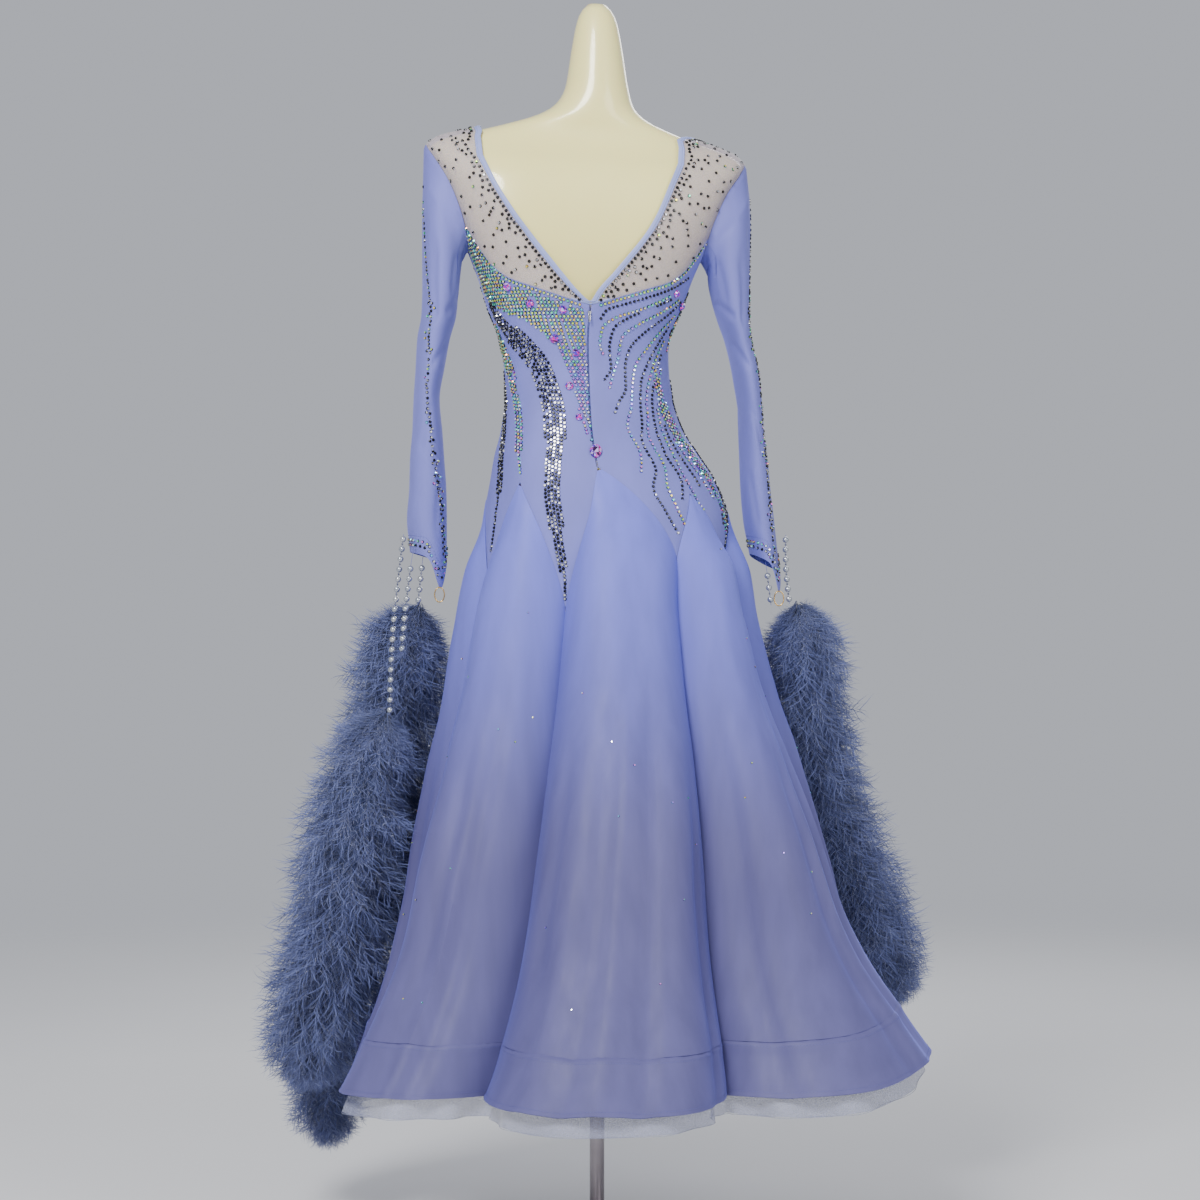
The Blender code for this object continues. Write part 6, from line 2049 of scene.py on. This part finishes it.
def make_all_stitches(band, binding, sleeves):
    routes = []
    for height in (BAND_TOP - 4.5 * MM, HEM + 6.5 * MM):
        route = []
        for number in range(HEM_STEPS + 1):
            point = hem_point(number / HEM_STEPS % 1.0, height)
            route.append(on_cloth(band, point, Vector((point.x, point.y, 0)).normalized()))
        routes.append(route)
    make_stitches("stitches_hem", routes)
    route = []
    for inner, outer in finer(binding_line(), 6):
        point = torso_between(inner, outer, min(share_at(inner, outer, 9.4 * MM), 0.92))
        route.append(on_cloth(binding, point, here_normal(point)))
    make_stitches("stitches_neck", [route])
    routes = [
        [on_cloth(cloth, *shape.point_and_normal(n / CUFF_STEPS, CUFF_STITCHES)) for n in range(CUFF_STEPS + 1)]
        for cloth, shape in sleeves
    ]
    make_stitches("stitches_cuffs", routes)


# ---------------------------------------------------------------- zip


def make_zip():
    def place(across, down):
        height = mix(ZIP_TOP - 6 * MM, ZIP_BOTTOM, down)
        degrees = nudged(zip_angle(height), height, mix(-8 * MM, 8 * MM, across))
        return torso_point(degrees, height) - torso_normal(degrees, height) * 2.3 * MM

    tape, cut = cloth_grid("zip_tape_cloth", 8, 60, place)
    finish_cloth(tape, [cut], 0.7 * MM, "zip", "zip_plastic", ["zip_tape"])
    tooth = add_primitive(
        "tooth", bpy.ops.mesh.primitive_torus_add, major_segments=8, minor_segments=4,
        major_radius=0.62 * MM, minor_radius=0.27 * MM, rotation=(math.radians(90), 0, 0),
    )
    matrices = []
    count = int((ZIP_TOP - ZIP_BOTTOM - 12 * MM) / COIL_PITCH)
    for number in range(count):
        height = mix(ZIP_TOP - 8 * MM, ZIP_BOTTOM + 4 * MM, number / count)
        degrees = zip_angle(height)
        sideways = 0.30 * MM * (-1) ** number
        normal = torso_normal(degrees, height)
        point = torso_point(nudged(degrees, height, sideways), height) - normal * 1.25 * MM
        up = torso_point(degrees, height + 1 * MM) - torso_point(degrees, height - 1 * MM)
        across = up.cross(normal)
        matrices.append(turned_frame(point, normal, across))
    coil = scatter("zip_coil", tooth, matrices)
    round_off(coil, 80)
    declare(coil, "coil", "zip_plastic")


def make_slider():
    width, depth, height = SLIDER_SIZE
    body = add_primitive("slider_body", bpy.ops.mesh.primitive_cube_add, size=1, location=(0, 0, 0))
    body.scale = (width, depth, height)
    in_place(body)
    for vertex in body.data.vertices:
        if vertex.co.z < 0:
            vertex.co.x *= 0.55
    body.location = slider_place() + Vector((0, depth / 2, 0))
    in_place(body)
    apply_modifier(body, "BEVEL", width=0.55 * MM, segments=4)
    bail = add_primitive(
        "slider_bail", bpy.ops.mesh.primitive_torus_add, major_segments=32, minor_segments=10,
        major_radius=BAIL_RADIUS, minor_radius=BAIL_WIRE, rotation=(0, math.radians(90), 0), location=pull_axis(),
    )
    slider = join([body, bail])
    round_off(slider, 40)
    declare(slider, "nickel", "zip_metal", "zip_slider")


def make_pull():
    """The CAD tab's outline with a softened edge; it keeps clear of the bail through its window."""
    pull = add_object("pull_tab_polished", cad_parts["zip_pull"].data.copy())
    edit_whole(pull, bpy.ops.mesh.remove_doubles, threshold=0.002 * MM)
    edit_whole(pull, bpy.ops.mesh.dissolve_limited, angle_limit=math.radians(2))
    apply_modifier(pull, "BEVEL", width=0.12 * MM, segments=2, limit_method="ANGLE", angle_limit=math.radians(30))
    round_off(pull, 40)
    declare(pull, "nickel", "zip_metal", "zip_pull", body=PULL_BODY)


# ---------------------------------------------------------------- the gown

make_form()
make_stand()
back_left = make_bodice_panel("bodice_back_left", 0, 2)
bodice_front = make_bodice_panel("bodice_front", 2, 6)
back_right = make_bodice_panel("bodice_back_right", 6, 8)
yoke_left = make_yoke("yoke_left", 1)
yoke_right = make_yoke("yoke_right", -1)
neck_binding = make_binding()
godets = [make_godet(index) for index in range(len(GODETS))]
hem_band = make_hem_band()
frill_line = make_frill()
make_cord("frill_line", [frill_line], 0.45 * MM, "crin", "crin", closed=True)
make_seam_cords()
left_shape = SleeveShape(1, LEFT_SLEEVE, LEFT_CUFF_POINT)
right_shape = SleeveShape(-1, RIGHT_SLEEVE, RIGHT_CUFF_POINT)
sleeve_left = make_sleeve("sleeve_left", 1, left_shape)
sleeve_right = make_sleeve("sleeve_right", -1, right_shape)
for loop_node in ("finger_loop_left", "finger_loop_right"):
    make_finger_loop(loop_node)
for strand in PEARLS:
    make_pearls(*strand)
for boa_number, (boa_name, boa_table) in enumerate(BOAS.items()):
    make_boa(boa_name, boa_table, boa_number + 1)

setter = StoneSetter()
for stone_number, stone_row in enumerate(STONES, 1):
    make_large_stone(f"stone_{stone_number}", *stone_row)
    setter.take(torso_point(*stone_row[:2]), stone_row[2])
make_large_stone("centre_stone", *CENTRE_STONE, CENTRE_STONE_STRETCH, 16)
setter.take(torso_point(*CENTRE_STONE[:2]), CENTRE_STONE[2] * CENTRE_STONE_STRETCH)
set_seam_stones(setter, back_left, BACK_YOKE_SEAM, 1, 4, 72)
set_seam_stones(setter, back_right, BACK_YOKE_SEAM, -1, 4, 72)
set_seam_stones(setter, bodice_front, FRONT_YOKE_SEAM, 1, 110, 180)
set_seam_stones(setter, bodice_front, FRONT_YOKE_SEAM, -1, 110, 180)
set_bodice_stones(setter, back_left, back_right, bodice_front)
set_yoke_stones(setter, "yoke_left", yoke_left, 1)
set_yoke_stones(setter, "yoke_right", yoke_right, -1)
set_sleeve_stones(setter, "sleeve_left", sleeve_left, left_shape, LEFT_STRIPE)
set_sleeve_stones(setter, "sleeve_right", sleeve_right, right_shape, RIGHT_STRIPE)
set_skirt_stones(setter, godets)
setter.build()
make_all_stitches(hem_band, neck_binding, [(sleeve_left, left_shape), (sleeve_right, right_shape)])
make_zip()
make_slider()
make_pull()

# ---------------------------------------------------------------- floor, light and camera

FLOOR_RADIUS = 6.0
# Distances from the middle at which the floor starts to thin out and is gone
FLOOR_FADE = (1.4, 5.4)
LIGHT_AIM = (0, 0, 0.8)


def make_floor():
    """A pale round floor that thins out into the plain light around it."""
    floor = add_primitive(
        "studio_floor", bpy.ops.mesh.primitive_circle_add, vertices=128, radius=FLOOR_RADIUS, fill_type="NGON",
    )
    pale = Finish("studio_paper", (0.74, 0.74, 0.75), 0.85)
    pale.set(Base_Color=pale.ramp(pale.noise(1.5, 3.0), (0.73, 0.73, 0.74), (0.75, 0.75, 0.76)))
    pale.bumped(pale.noise(300.0, 2.0), 0.05, 0.2 * MM)
    away = pale.node("VectorMath", operation="LENGTH")
    pale.feed(away.inputs[0], pale.place)
    pale.sheer(pale.map_range(away.outputs["Value"], *FLOOR_FADE, 1.0, 0.0))
    floor.data.materials.append(pale.material)


def add_aimed(name, data, place, aim):
    obj = add_object(name, data)
    obj.location = place
    obj.rotation_mode = "QUATERNION"
    obj.rotation_quaternion = (Vector(aim) - Vector(place)).to_track_quat("-Z", "Y")
    return obj


def add_area_light(name, place, size, power):
    data = bpy.data.lights.new(name, "AREA")
    data.shape = "DISK"
    data.size = size
    data.energy = power
    add_aimed(name, data, place, LIGHT_AIM).visible_camera = False


CAMERA_PLACE = Vector((0.35, 3.98, 0.845))
CAMERA_AIM = Vector((-0.0039, 0.0, 0.845))
SENSOR = 36.0
VIEW_WIDTH = 1.56


def make_camera():
    data = bpy.data.cameras.new("camera")
    data.sensor_width = SENSOR
    data.lens = SENSOR * (CAMERA_PLACE - CAMERA_AIM).length / VIEW_WIDTH
    bpy.context.scene.camera = add_aimed("camera", data, CAMERA_PLACE, CAMERA_AIM)


make_floor()
add_area_light("key", (1.5, 2.8, 3.05), 1.3, 166)
add_area_light("fill", (-2.3, 3.2, 1.9), 2.0, 57)
add_area_light("front", (-1.2, -3.2, 2.6), 2.0, 42)
world = bpy.data.worlds.new("studio")
world.use_nodes = True
world.node_tree.nodes["Background"].inputs["Color"].default_value = (0.88, 0.91, 1.0, 1.0)
world.node_tree.nodes["Background"].inputs["Strength"].default_value = 0.56
bpy.context.scene.world = world
make_camera()
